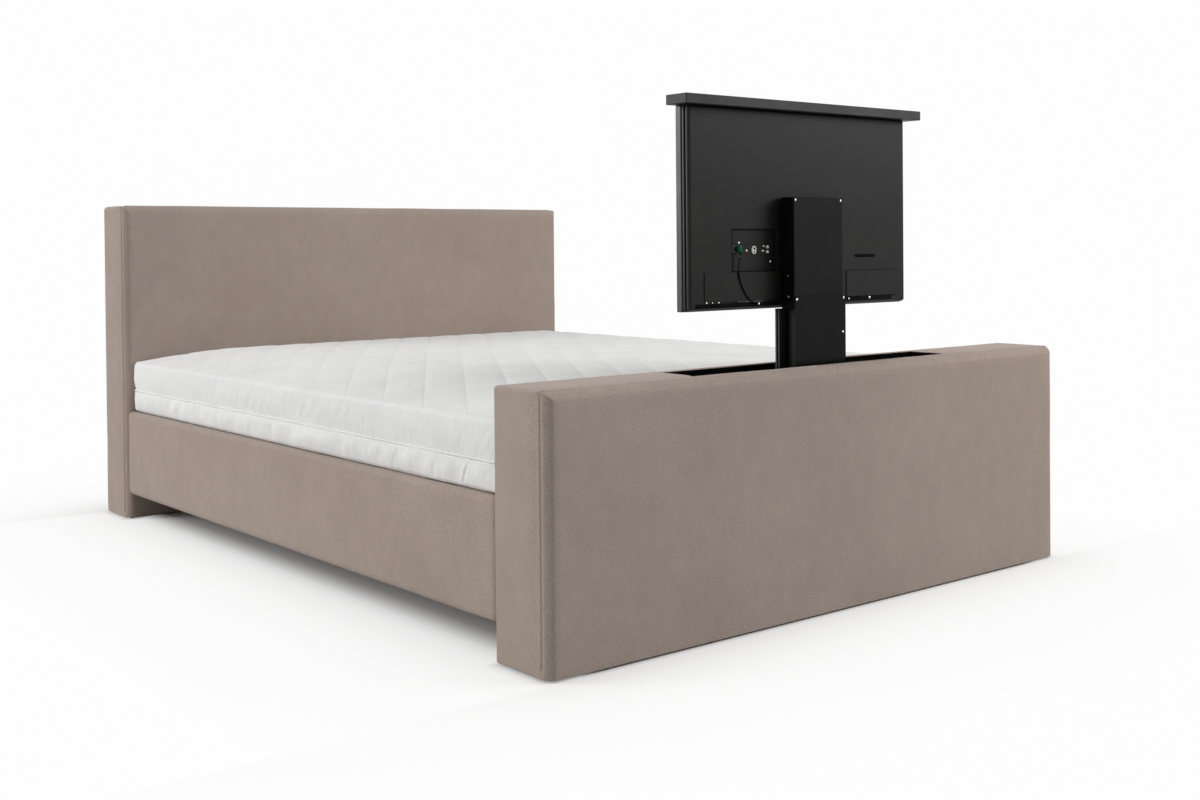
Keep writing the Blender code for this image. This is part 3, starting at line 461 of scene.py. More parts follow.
BRIGHT = brushed("bright_steel", (0.8, 0.79, 0.76), 0.28)
PINE_X = timber("pine_across", (0.52, 0.36, 0.2), (0.7, 0.54, 0.35), "X")
PINE_Y = timber("pine_along", (0.52, 0.36, 0.2), (0.7, 0.54, 0.35), "Y")
THREAD = grained("thread", (0.36, 0.32, 0.28), 0.7, 2500.0, 0.0002)


# Stage

def add_object(name, data):
    """New object in the scene."""
    item = bpy.data.objects.new(name, data)
    bpy.context.scene.collection.objects.link(item)
    return item


def camera():
    """Camera at the photograph's place; yaw is a turn from +Y towards +X."""
    lens = bpy.data.cameras.new("camera")
    lens.lens = CAMERA_LENS
    lens.sensor_width = SENSOR_WIDTH
    lens.shift_x, lens.shift_y = CAMERA_SHIFT
    item = add_object("camera", lens)
    turn = Matrix.Rotation(-CAMERA_YAW, 4, "Z") @ Matrix.Rotation(math.pi / 2 + CAMERA_PITCH, 4, "X")
    item.matrix_world = Matrix.Translation(CAMERA_PLACE) @ turn @ Matrix.Rotation(CAMERA_ROLL, 4, "Z")
    bpy.context.scene.camera = item


def seen_rays(tree):
    """1 for rays that show the background: camera, glossy and transmission rays."""
    path = add_node(tree, "ShaderNodeLightPath", {})
    total = path.outputs["Is Camera Ray"]
    for name in ("Is Glossy Ray", "Is Transmission Ray"):
        total = arithmetic(tree, "MAXIMUM", total, path.outputs[name])
    return total


def world():
    """Pale studio: white where it is seen, softer as a light."""
    sky = bpy.data.worlds.new("studio")
    bpy.context.scene.world = sky
    sky.use_nodes = True
    tree = sky.node_tree
    tree.nodes.clear()
    light = add_node(tree, "ShaderNodeBackground", {"Color": grey(1.0), "Strength": SKY_STRENGTH})
    seen = add_node(tree, "ShaderNodeBackground", {"Color": grey(STUDIO_WHITE), "Strength": 1.0})
    shares = {0: seen_rays(tree), 1: light.outputs[0], 2: seen.outputs[0]}
    mixer = add_node(tree, "ShaderNodeMixShader", shares)
    add_node(tree, "ShaderNodeOutputWorld", {0: mixer.outputs[0]})


def floor_shade(tree):
    """Share of the true shadow that stays, round the bed's outline and close to its end boards."""
    step = partial(arithmetic, tree)
    times = partial(step, "MULTIPLY")
    minus = partial(step, "SUBTRACT")

    def fall(distance, reach):
        return step("EXPONENT", times(distance, -1 / reach))

    x, y = floor_plan(tree)
    beside = minus(step("ABSOLUTE", x), FOOTPRINT[0])
    out_x = step("MAXIMUM", beside, 0.0)
    out_y = step("MAXIMUM", minus(step("ABSOLUTE", y), FOOTPRINT[1]), 0.0)
    start, span = SIDE_SHADE[0][0], SIDE_SHADE[-1][0] - SIDE_SHADE[0][0]
    spread = step("DIVIDE", minus(beside, start), span)
    side = ramp(tree, spread, [((out - start) / span, level) for out, level in SIDE_SHADE])
    fall_y = fall(out_y, FRONT_FADE)
    front = times(times(fall(out_x, SIDE_FADE), fall_y), FRONT_SHADE)
    blend = step("MINIMUM", step("DIVIDE", out_y, FRONT_BLEND), 1.0)
    shade = step("ADD", times(side, minus(1.0, blend)), times(front, blend))
    along = step("DIVIDE", step("ADD", y, FOOTPRINT[1]), 2 * FOOTPRINT[1])
    boards = ramp(tree, along, CONTACT_ALONG)
    contact = times(times(fall(out_x, CONTACT_FADE), boards), CONTACT_SHADE)
    return step("MAXIMUM", shade, times(contact, fall_y))


def floor():
    """White floor that keeps the object's shadow and fades into the background further out."""
    half = FLOOR_SIDE / 2
    corners = [(-half, -half, 0), (half, -half, 0), (half, half, 0), (-half, half, 0)]
    mesh = mesh_of("floor", corners, [(0, 1, 2, 3)])
    made, tree = material("floor", grey(FLOOR_WHITE), 1.0)
    seen = seen_rays(tree)
    colour = blend_colours(tree, "MIX", seen, grey(FLOOR_BOUNCE), grey(FLOOR_WHITE))
    set_shader(tree, {"Base Color": colour, "Specular IOR Level": 0.0})
    lit = add_node(tree, "ShaderNodeEmission", {"Color": grey(STUDIO_WHITE), "Strength": 1.0})
    glow = arithmetic(tree, "SUBTRACT", 1.0, floor_shade(tree))
    mixer = add_node(tree, "ShaderNodeMixShader", {0: arithmetic(tree, "MULTIPLY", glow, seen),
                                         1: tree.nodes["Principled BSDF"].outputs[0], 2: lit.outputs[0]})
    feed(tree, tree.nodes["Material Output"].inputs["Surface"], mixer.outputs[0])
    mesh.materials.append(made)
    add_object("floor", mesh)


def area_light(name, place, target, size, energy):
    """Soft square lamp that points at a target."""
    lamp = bpy.data.lights.new(name, "AREA")
    lamp.shape = "SQUARE"
    lamp.size = size
    lamp.energy = energy
    item = add_object(name, lamp)
    item.location = place
    item.rotation_euler = (Vector(target) - Vector(place)).to_track_quat("-Z", "Y").to_euler()


# Mesh tools

def new_object(name, mesh, finish, body):
    """Piece with one material that rides on a body."""
    if finish:
        mesh.materials.append(finish)
    item = add_object(name, mesh)
    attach(item, body)
    return item


def mesh_of(name, points, faces):
    """Smooth mesh from points and faces."""
    mesh = bpy.data.meshes.new(name)
    mesh.from_pydata([tuple(p) for p in points], [], faces)
    mesh.shade_smooth()
    mesh.update()
    return mesh


def vectors_of(rows, key):
    """Vectors of a mesh's rows as an array."""
    values = np.zeros(len(rows) * 3, np.float32)
    rows.foreach_get(key, values)
    return values.reshape(-1, 3).astype(float)


def normals_of(mesh):
    """Vertex normals as an array."""
    return vectors_of(mesh.vertex_normals, "vector")


def points_of(mesh):
    """Vertex places as an array."""
    return vectors_of(mesh.vertices, "co")


def set_points(mesh, points):
    """Move a mesh's vertices."""
    mesh.vertices.foreach_set("co", points.astype(np.float32).ravel())
    mesh.update()


def noise_at(points, scale, seed=0.0):
    """Smooth noise from -1 to 1 at each point; scale is one number or one for each axis."""
    scaled = points * np.array(scale)
    return np.array([noise.noise(Vector((p[0] + seed, p[1] - seed, p[2] + 2 * seed))) for p in scaled])


def unit(values):
    """Values held between 0 and 1."""
    return np.clip(values, 0, 1)


def bell(distance, width):
    """Smooth bump of height 1."""
    return np.exp(-(distance / width) ** 2)


def grid_lines(low, high, step, exact=(), fine=()):
    """Grid coordinates from low to high: exact ones, then fine ones, then an even row."""
    rows = [low, high] + [value for value in exact if low < value < high]
    for value in fine:
        if low < value < high and min(abs(value - row) for row in rows) > LEAST_LINE:
            rows.append(value)
    count = max(1, round((high - low) / step))
    for i in range(1, count):
        value = low + (high - low) * i / count
        if min(abs(value - row) for row in rows) > step * 0.4:
            rows.append(value)
    return sorted(rows)


def near_ends(low, high, insets):
    """Grid rows at the same insets from both ends."""
    return [low + inset for inset in insets] + [high - inset for inset in insets]


def edge_lines(low, high, radius_low, radius_high):
    """Places that give even turns round the edges at both ends."""
    turns = [math.tan(math.radians(45 * k / EDGE_TURNS)) for k in range(EDGE_TURNS)]
    return [low + radius_low * (1 - t) for t in turns] + [high - radius_high * (1 - t) for t in turns]


def box_surface(rows, keep):
    """Points and quads over a box's sides, where keep(axis, high_end, centre) is true."""
    index = {}
    points = []
    quads = []

    def corner(key):
        if key not in index:
            index[key] = len(points)
            points.append([rows[axis][key[axis]] for axis in range(3)])
        return index[key]

    for axis in range(3):
        across, along = (axis + 1) % 3, (axis + 2) % 3
        for end in (0, len(rows[axis]) - 1):
            for i in range(len(rows[across]) - 1):
                for j in range(len(rows[along]) - 1):
                    centre = [0, 0, 0]
                    centre[axis] = rows[axis][end]
                    centre[across] = (rows[across][i] + rows[across][i + 1]) / 2
                    centre[along] = (rows[along][j] + rows[along][j + 1]) / 2
                    if not keep(axis, end > 0, centre):
                        continue
                    loop = []
                    for u, v in ((i, j), (i + 1, j), (i + 1, j + 1), (i, j + 1)):
                        key = [0, 0, 0]
                        key[axis], key[across], key[along] = end, u, v
                        loop.append(corner(tuple(key)))
                    quads.append(loop if end else loop[::-1])
    return np.array(points), quads


def round_box(points, low, high, radius_low, radius_high):
    """Round a box's edges; radii are for the low and high end of each axis."""
    core = np.clip(points, np.array(low) + radius_low, np.array(high) - radius_high)
    away = points - core
    radius = np.where(away < 0, radius_low, radius_high)
    share = away / np.maximum(radius, 1e-9)
    length = np.linalg.norm(share, axis=1, keepdims=True)
    most = np.abs(share).max(axis=1, keepdims=True)
    return core + away * most / np.maximum(length, 1e-9)


def waves(points, rows):
    """Slow unevenness of padding; each row is a share, a scale and a seed."""
    return WAVE * sum(share * noise_at(points, scale, seed) for share, scale, seed in rows)


def seam(distance):
    """Height of cloth near a sewn line: a groove with a slight swell on each side."""
    swell = bell(np.abs(distance) - SEAM_SWELL_REACH, SEAM_SWELL_REACH / 2)
    return SEAM_SWELL * swell - SEAM_DEPTH * bell(distance, SEAM_WIDTH)


def loft(rings, count, first=0, closed=False):
    """Faces between rings of points, closed to a hoop or capped at both ends."""
    faces = []
    for k in range(rings if closed else rings - 1):
        lower, upper = first + k * count, first + (k + 1) % rings * count
        for i in range(count):
            n = (i + 1) % count
            faces.append((lower + i, lower + n, upper + n, upper + i))
    if not closed:
        last = first + (rings - 1) * count
        faces.append(tuple(range(first, first + count))[::-1])
        faces.append(tuple(range(last, last + count)))
    return faces


# Upholstered boards

def board_cover(node, back_roll, top_edge, slot_box=None):
    """Padded cover of the head or foot board, with a pillowed front panel sewn on."""
    low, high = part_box(node)
    low = Vector((low.x, low.y + PANEL_RISE, low.z - FOOT_DROP))
    seam_row = low.y + SEAM_BEHIND
    seam_rows = [seam_row + s for s in SEAM_REACH + ROWS_BEHIND]
    exact = [(), (), ()]
    fine_x = near_ends(low.x, high.x, PANEL_LINES) + edge_lines(low.x, high.x, END_EDGE, END_EDGE)
    fine_y = edge_lines(low.y, high.y, FRONT_EDGE, back_roll)
    fine_z = [high.z - s for s in PANEL_LINES] + edge_lines(low.z, high.z, FOOT_EDGE, top_edge)
    if slot_box:
        (x0, y0), (x1, y1) = slot_box
        rim = [-SLOT_RIM * (1 - math.cos(math.radians(90 * k / RIM_TURNS))) for k in range(RIM_TURNS + 1)]
        exact = [near_ends(x0, x1, rim), near_ends(y0, y1, rim), ()]
    fine = [fine_x, seam_rows + fine_y, fine_z]
    rows = [grid_lines(low[axis], high[axis], PANEL_STEP, exact[axis], fine[axis]) for axis in range(3)]

    def keep(axis, high_end, centre):
        in_slot = slot_box and x0 < centre[0] < x1 and y0 < centre[1] < y1
        return axis != 2 or (high_end and not in_slot)

    points, quads = box_surface(rows, keep)
    x, y, z = points.copy().T
    to_back = unit((y - low.y - BACK_BLEND[0]) / BACK_BLEND[1])
    end_radius = SEAM_CORNER + (END_EDGE - SEAM_CORNER) * to_back
    top_radius = SEAM_CORNER + (top_edge - SEAM_CORNER) * to_back
    radius_low = np.column_stack([end_radius, np.full(len(x), FRONT_EDGE), np.full(len(x), FOOT_EDGE)])
    radius_high = np.column_stack([end_radius, np.full(len(x), back_roll), top_radius])
    points = round_box(points, low, high, radius_low, radius_high)
    on_panel = y <= low.y
    from_end = np.minimum(x - low.x, high.x - x)
    from_top = high.z - z
    lack_end = 1 - np.sin(unit(from_end / PANEL_ROLL) * math.pi / 2)
    lack_top = 1 - np.sin(unit(from_top / PANEL_ROLL) * math.pi / 2)
    lack = (lack_end ** PANEL_SQUARENESS + lack_top ** PANEL_SQUARENESS) ** (1 / PANEL_SQUARENESS)
    swell = unit(1 - lack)
    points[:, 1] -= np.where(on_panel, PANEL_RISE * swell, 0)
    mesh = mesh_of(node + "_cloth", points, quads)
    normals = normals_of(mesh)
    behind = y - seam_row
    height = seam(behind) - SEAM_PULL * bell(np.maximum(behind, 0), SEAM_PULL_REACH)
    height = np.where(on_panel, -SEAM_PULL * (1 - unit(swell * PANEL_EDGE_REACH)), height)
    height += waves(points, BOARD_WAVES)
    height = height * unit((points[:, 2] - low.z) / FOOT_CALM)
    near_corner = unit(1 - from_end / CORNER_REACH) * unit(1 - from_top / CORNER_REACH)
    height = height * (1 - CORNER_SHARE * near_corner)
    if slot_box:
        out_x = np.maximum(np.maximum(x0 - x, x - x1), 0)
        out_y = np.maximum(np.maximum(y0 - y, y - y1), 0)
        near = np.clip(SLOT_RIM - np.hypot(out_x, out_y), 0, SLOT_RIM) * (z == high.z)
        points[:, 2] -= SLOT_RIM - np.sqrt(SLOT_RIM ** 2 - near ** 2)
    set_points(mesh, points + normals * height[:, None])
    mesh.materials.append(VELOUR)
    if slot_box:
        drop_lip(mesh, slot_box)
    finish_cover(node, mesh, BLACK_BOARD if slot_box else None)


def finish_cover(node, mesh, finish):
    """Make a skin with real thickness the soft piece that stands for a solid."""
    cover = new_object(node + "_cloth", mesh, finish, "bed")
    wall = cover.modifiers.new("wall", "SOLIDIFY")
    wall.thickness = SHELL_THICKNESS
    wall.offset = -1
    wall.use_rim = True
    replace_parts(cover, node)


def drop_lip(mesh, slot_box):
    """Fold the cover down into the slot, where it is black."""
    (x0, y0), (x1, y1) = slot_box
    form = bmesh.new()
    form.from_mesh(mesh)
    border = [e for e in form.edges if e.is_boundary
              and all(x0 - SLOT_RIM < v.co.x < x1 + SLOT_RIM and y0 - SLOT_RIM < v.co.y < y1 + SLOT_RIM
                      for v in e.verts)]
    made = bmesh.ops.extrude_edge_only(form, edges=border)
    moved = [g for g in made["geom"] if isinstance(g, bmesh.types.BMVert)]
    for face in form.faces:
        if any(v in moved for v in face.verts):
            face.material_index = 1
    bmesh.ops.translate(form, vec=(0, 0, -SLOT_LIP), verts=moved)
    bmesh.ops.recalc_face_normals(form, faces=form.faces)
    form.to_mesh(mesh)
    form.free()
    mesh.shade_smooth()


def rail_cover(word):
    """Padded cover of a side rail, open on the inner side."""
    node = "rail_cover_" + word
    low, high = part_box(node)
    inner_high_end = word == "left"
    radius_low = np.array([RAIL_FACE_EDGE, RAIL_END_EDGE, RAIL_LONG_EDGE])
    radius_high = radius_low.copy()
    if inner_high_end:
        radius_high[0] = 1e-6
    else:
        radius_low[0] = 1e-6
    rows = [grid_lines(low[axis], high[axis], PANEL_STEP, (),
                       edge_lines(low[axis], high[axis], radius_low[axis], radius_high[axis]))
            for axis in range(3)]

    def keep(axis, high_end, centre):
        return not (axis == 0 and high_end == inner_high_end)

    points, quads = box_surface(rows, keep)
    points = round_box(points, low, high, radius_low, radius_high)
    mesh = mesh_of(node + "_cloth", points, quads)
    set_points(mesh, points + normals_of(mesh) * waves(points, RAIL_WAVES)[:, None])
    finish_cover(node, mesh, VELOUR)


# Stitching

def stitch_row(name, path, normals, finish, slot, pitch, length, radius):
    """Row of single stitches along a path, each a small spindle of thread."""
    path = np.array(path, float)
    normals = np.array(normals, float)
    steps = np.linalg.norm(np.diff(path, axis=0), axis=1)
    along = np.concatenate([[0], np.cumsum(steps)])
    count = int(along[-1] / pitch)
    points, faces = [], []
    for place in (np.arange(count) + 0.5) * pitch:
        i = max(min(int(np.searchsorted(along, place)) - 1, len(path) - 2), 0)
        share = (place - along[i]) / max(steps[i], 1e-9)
        here = path[i] + (path[i + 1] - path[i]) * share
        ahead = (path[i + 1] - path[i]) / max(steps[i], 1e-9)
        up = normals[i] + (normals[i + 1] - normals[i]) * share
        up = up - ahead * float(up @ ahead)
        up = up / np.linalg.norm(up)
        beside = np.cross(ahead, up)
        faces += loft(len(STITCH_PROFILE), STITCH_SIDES, len(points))
        for shift, width in STITCH_PROFILE:
            for k in range(STITCH_SIDES):
                turn = 2 * math.pi * k / STITCH_SIDES
                points.append(here + ahead * shift * length
                              + (beside * math.cos(turn) + up * math.sin(turn)) * radius * width)
    new_object(name, mesh_of(name, points, faces), finish, "bed")


def board_stitches(node, label):
    """Topstitching behind the front panel's seam, on both ends and along the top."""
    low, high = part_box(node)
    row = low.y + PANEL_RISE + SEAM_BEHIND + STITCH_INSET
    sunk = SEAM_PULL * STITCH_SUNK
    foot, top = low.z + STITCH_ENDS[0], high.z - STITCH_ENDS[1]
    left, right = low.x + STITCH_ENDS[1], high.x - STITCH_ENDS[1]
    rows = (("left", (low.x + sunk, row, foot), (low.x + sunk, row, top), (-1, 0, 0)),
            ("right", (high.x - sunk, row, foot), (high.x - sunk, row, top), (1, 0, 0)),
            ("top", (left, row, high.z - sunk), (right, row, high.z - sunk), (0, 0, 1)))
    for word, first, last, out in rows:
        name = f"{label}_stitches_{word}"
        stitch_row(name, (first, last), (out, out), THREAD, "upholstery_fabric", *BOARD_STITCH)


# Mattress

def quilt_lines(points):
    """Distances from the nearest quilting line and from the nearest crossing of two."""
    slope = math.hypot(1 / QUILT_LEAN, 1)
    x, y, _ = points.T
    ways = []
    for way in (-1, 1):
        run = (x / QUILT_LEAN + way * y + QUILT_START) / QUILT_LENGTH
        ways.append(np.abs(run - np.round(run)) * QUILT_LENGTH / slope)
    return np.minimum(*ways), np.hypot(*ways)


def fold_rows():
    """Closer grid rows where the long folds run."""
    run = abs(FOLD_LEAN) * BORDER_HEIGHT * SEAM_SHARE
    rows = []
    for along, _, reach in LONG_FOLDS:
        first = along + min(FOLD_LEAN, 0) * BORDER_HEIGHT * SEAM_SHARE - reach
        rows += [first + k * reach for k in range(int((run + 3 * reach) / reach) + 1)]
    return rows


def mattress_form():
    """Mattress before it is filled: round corners in plan, soft edges and a crowned top."""
    low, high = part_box("mattress")
    foot = low.z
    brim = foot + BORDER_HEIGHT
    seam_z = foot + BORDER_HEIGHT * SEAM_SHARE
    seam_rows = [seam_z + s for s in BORDER_SEAM_ROWS]
    rows = [grid_lines(low.x, high.x, CLOTH_STEP, (), near_ends(low.x, high.x, SOFT_LINES)),
            grid_lines(low.y, high.y, CLOTH_STEP, (), near_ends(low.y, high.y, SOFT_LINES) + fold_rows()),
            grid_lines(foot, brim, CLOTH_STEP, seam_rows, near_ends(foot, brim, SOFT_LINES))]
    points, quads = box_surface(rows, lambda axis, high_end, centre: True)
    level_z = points[:, 2]
    half = np.array([(high.x - low.x) / 2, (high.y - low.y) / 2])
    middle = np.array([(high.x + low.x) / 2, (high.y + low.y) / 2])
    plan = points[:, :2] - middle
    core = np.clip(plan, -(half - PLAN_RADIUS), half - PLAN_RADIUS)
    away = plan - core
    length = np.maximum(np.linalg.norm(away, axis=1), 1e-9)
    most = np.abs(away).max(axis=1)
    out = away / length[:, None]
    plan = core + away * (most / length)[:, None]
    inset = np.where(most > 0, PLAN_RADIUS - most, 1.0)
    rise = unit((level_z - (brim - SOFT_EDGE)) / SOFT_EDGE)
    drop = unit((foot + SOFT_EDGE - level_z) / SOFT_EDGE)
    over = unit(1 - inset / SOFT_EDGE)
    tall = np.maximum(rise, drop)
    cut = np.maximum(over, tall) / np.maximum(np.hypot(over, tall), 1e-9) - 1
    cut = np.where((over > 0) & (tall > 0), cut, 0) * SOFT_EDGE
    plan = plan + out * (over * cut)[:, None]
    z = level_z + np.where(level_z > (foot + brim) / 2, tall, -tall) * cut
    deep = np.minimum(half[0] - np.abs(plan[:, 0]), half[1] - np.abs(plan[:, 1]))
    lift = (high.z - brim) * np.sin(unit(deep / CROWN_REACH) * math.pi / 2)
    z = z + np.where(level_z >= brim - 1e-6, lift, 0)
    level = (level_z - foot) / BORDER_HEIGHT
    upper = unit((level - SEAM_SHARE) / (1 - SEAM_SHARE))
    lower = unit(level / SEAM_SHARE)
    on_side = over >= 1 - 1e-6
    swell = np.where(level > SEAM_SHARE, UPPER_BULGE * np.sin(upper * math.pi),
                     LOWER_BULGE * np.sin(lower * math.pi))
    pull = BORDER_SEAM_DEPTH * bell(level_z - seam_z, BORDER_SEAM_REACH)
    plan = plan + out * (np.where(on_side, swell - pull, 0) * (most > 0))[:, None]
    return np.column_stack([plan + middle, z]), quads, seam_z, foot, brim


def fill_cloth(mesh, pinned):
    """Blow the cloth up a little between its pinned lines, within the cap."""
    item = add_object("filling", mesh)
    group = item.vertex_groups.new(name="pins")
    group.add([int(i) for i in np.nonzero(pinned)[0]], 1.0, "REPLACE")
    cloth = item.modifiers.new("cloth", "CLOTH")
    for key, value in CLOTH.items():
        setattr(cloth.settings, key, value)
    cloth.settings.effector_weights.gravity = 0
    cloth.point_cache.frame_start = 1
    cloth.point_cache.frame_end = FILL_FRAMES
    scene = bpy.context.scene
    start = points_of(mesh)
    for number in range(FILL_FRAMES):
        scene.frame_set(number + 1)
    graph = bpy.context.evaluated_depsgraph_get()
    moved = points_of(item.evaluated_get(graph).data)
    scene.frame_set(1)
    bpy.data.objects.remove(item, do_unlink=True)
    shift = moved - start
    size = np.linalg.norm(shift, axis=1, keepdims=True)
    return start + shift * FILL_CAP * np.tanh(size / FILL_CAP) / np.maximum(size, 1e-9)


def final_mesh(item):
    """Object's mesh with its modifiers applied; the object itself goes."""
    graph = bpy.context.evaluated_depsgraph_get()
    made = bpy.data.meshes.new_from_object(item.evaluated_get(graph))
    bpy.data.objects.remove(item, do_unlink=True)
    return made


def subdivided(mesh):
    """Mesh after one smooth subdivision."""
    item = add_object("finer", mesh)
    finer = item.modifiers.new("finer", "SUBSURF")
    finer.levels = 1
    finer.render_levels = 1
    return final_mesh(item)


def pins(points, seam_z, foot, brim):
    """Points that the filling leaves in place: quilting, crest, border seam and foot."""
    x, y, z = points.T
    on_quilt = (z > brim + PIN_TOP) & (quilt_lines(points)[0] < PIN_QUILT)
    from_side = np.minimum(x.max() - np.abs(x), y.max() - np.abs(y))
    on_crest = (np.abs(z - brim) < SOFT_EDGE * PIN_CREST[0]) & (from_side < SOFT_EDGE * PIN_CREST[1])
    return on_quilt | on_crest | (np.abs(z - seam_z) < PIN_LINE) | (z < foot + PIN_LINE)


def noise_layer(points, name):
    """One of the mattress's noise layers."""
    return noise_at(points, *NOISES[name])


def leaning(points, rise, lean):
    """Points moved along y by a share of their rise, so that noise read there leans."""
    return points + np.outer(rise * lean, (0.0, 1.0, 0.0))


def border_height(points, side, from_seam, foot):
    """Height of the gathers, folds and creases of the mattress's border."""
    x, y, z = points.T
    under = unit(-from_seam / BORDER_REACH)
    above = unit(from_seam / BORDER_REACH)
    clusters = unit(noise_layer(points, "clusters") + CLUSTER_SHARE)
    slants = noise_layer(leaning(points, from_seam, SLANT_LEAN), "slants")
    height = GATHER_DEPTH * noise_layer(points, "gathers") * under * (GATHER_EASE - under)
    height += SLANT_DEPTH * slants * clusters * above * (SLANT_EASE - above)
    height += FINE_DEPTH * noise_layer(points, "fine") * bell(from_seam, SEAM_NEAR)
    creases = bell(noise_layer(leaning(points, from_seam, CREASE_LEAN), "creases"), CREASE_WIDTH)
    patches = unit(noise_layer(points, "patches") + PATCH_SHARE)
    height -= CREASE_DEPTH * creases * patches * (CREASE_LEAST + (1 - CREASE_LEAST) * under)
    for along, deep, reach in LONG_FOLDS:
        run = y - along - (z - foot) * FOLD_LEAN
        fold = bell(run, reach) - RIDGE_SHARE * bell(run - reach * RIDGE_OFF, reach)
        height -= (x < 0) * deep * fold * unit(-from_seam / SEAM_NEAR)
    return height * side


def mattress():
    """Quilted mattress with a zipped seam round its border."""
    points, quads, seam_z, foot, brim = mattress_form()
    mesh = mesh_of("mattress_cloth", points, quads)
    pinned = pins(points, seam_z, foot, brim)
    set_points(mesh, fill_cloth(mesh, pinned))
    mesh = subdivided(mesh)
    points = points_of(mesh)
    normals = normals_of(mesh)
    _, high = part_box("mattress")
    x, y, z = points.T
    inset = np.minimum(high.x - np.abs(x), high.y - np.abs(y))
    top_share = unit((normals[:, 2] - QUILT_TURN[0]) / QUILT_TURN[1])
    top_share = top_share * unit((inset - QUILT_IN[0]) / QUILT_IN[1])
    away, crossing = quilt_lines(points)
    height = QUILT_PUFF * unit(away / PUFF_REACH) ** PUFF_POWER
    height -= QUILT_DEPTH * bell(away, QUILT_SOFT) + TUFT_DEPTH * bell(crossing, TUFT_SOFT)
    side = unit(1 - np.abs(normals[:, 2]) * SIDE_TURN)
    height = height * top_share + border_height(points, side, z - seam_z, foot)
    height += UNEVENNESS * noise_layer(points, "hills") * (side + TOP_UNEVEN)
    set_points(mesh, points + normals * height[:, None])
    bed = new_object("mattress_cloth", mesh, TICKING, "bed")
    mesh.materials.append(TICKING_QUILTED)
    for face in mesh.polygons:
        face.material_index = int(face.normal.z > TOP_FACING)
    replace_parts(bed, "mattress")
    path, out = border_path(seam_z)
    piping("mattress_piping", path, PIPING_RADIUS, PIPING_WHITE_AND_HIGHLIGHT)
    piping("mattress_piping_lower", lowered(path, PIPING_APART), PIPING_RADIUS * PIPING_THIN, PIPING_WHITE_AND_HIGHLIGHT)
    between = lowered(path, PIPING_APART * STITCH_DROP)
    stitch_row("mattress_stitches", between, out, TICKING, "mattress_fabric", *BORDER_STITCH)


def lowered(path, drop):
    """Path at a lower height."""
    return [(x, y, z - drop) for x, y, z in path]


def border_path(height):
    """Closed path round the mattress at a height, with its outward normals."""
    _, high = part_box("mattress")
    core_x, core_y = high.x - PLAN_RADIUS, high.y - PLAN_RADIUS
    path, normals = [], []
    for sign_x, sign_y, start in ((1, 1, 0), (-1, 1, 90), (-1, -1, 180), (1, -1, 270)):
        for k in range(CORNER_TURNS + 1):
            turn = math.radians(start + 90 * k / CORNER_TURNS)
            out_x, out_y = math.cos(turn), math.sin(turn)
            path.append((sign_x * core_x + PLAN_RADIUS * out_x,
                         sign_y * core_y + PLAN_RADIUS * out_y, height))
            normals.append((out_x, out_y, 0))
    path.append(path[0])
    normals.append(normals[0])
    return path, normals


def piping(name, path, radius, finish, body="bed", cyclic=True):
    """Thin round cord along a path."""
    curve = bpy.data.curves.new(name, "CURVE")
    curve.dimensions = "3D"
    curve.bevel_depth = radius
    curve.bevel_resolution = 2
    strand = curve.splines.new("POLY")
    if cyclic:
        path = path[:-1]
    strand.points.add(len(path) - 1)
    for spot, point in zip(strand.points, path):
        spot.co = (*point, 1)
    strand.use_cyclic_u = cyclic
    curve.use_fill_caps = not cyclic
    mesh = final_mesh(add_object(name, curve))
    mesh.shade_smooth()
    return new_object(name, mesh, finish, body)


# Television's back and column; a fitting's row is name, plane, x, z, width, height, corner, profile, finish

FITTINGS = (
    ("square_socket", "panel", -0.224, 0.8255, 0.016, 0.016, 0.0015, "socket", SOCKET_BLACK),
    ("inlet", "panel", -0.16, 0.8234, 0.0135, 0.0185, 0.0065, "inlet", SOCKET_WHITE),
    ("inlet_hole_upper", "panel", -0.16, 0.8268, 0.0058, 0.0058, 0.0029, "hole", SHADOW_BLACK),
    ("inlet_hole_lower", "panel", -0.16, 0.819, 0.004, 0.004, 0.002, "hole", SHADOW_BLACK),
    # long_slot and the right recess are flat shadow_black patches: painted shade in a slot and in a recess
    # below the right cover.
    ("long_slot", "back", 0.2113, 0.8065, 0.074, 0.008, 0.0036, "recess", SHADOW_BLACK),
    ("painted_shade_recess_right", "back", 0.2247, 0.7037, 0.166, 0.0095, 0.0012, "recess", SHADOW_BLACK),
    # Flat shadow_black band along the lower left edge: a painted shadow under the shell's chamfered lower
    # edge, not a vent.
    ("painted_shadow_band_left", "back", -0.2125, 0.7013, 0.262, 0.0095, 0.0012, "recess", SHADOW_BLACK),
    ("lead_lip", "back", -0.1787, 0.7075, 0.084, 0.0026, 0.0012, "lip", TV_TRIM),
)


def round_outline(width, height, radius):
    """Rounded rectangle round the origin, anticlockwise."""
    half_w, half_h = width / 2, height / 2
    radius = max(min(radius, half_w, half_h), 1e-5)
    loop = []
    for quarter, (side_w, side_h) in enumerate(((1, 1), (-1, 1), (-1, -1), (1, -1))):
        for k in range(OUTLINE_TURNS + 1):
            turn = math.radians(90 * (quarter + k / OUTLINE_TURNS))
            loop.append((side_w * (half_w - radius) + radius * math.cos(turn),
                         side_h * (half_h - radius) + radius * math.sin(turn)))
    return loop


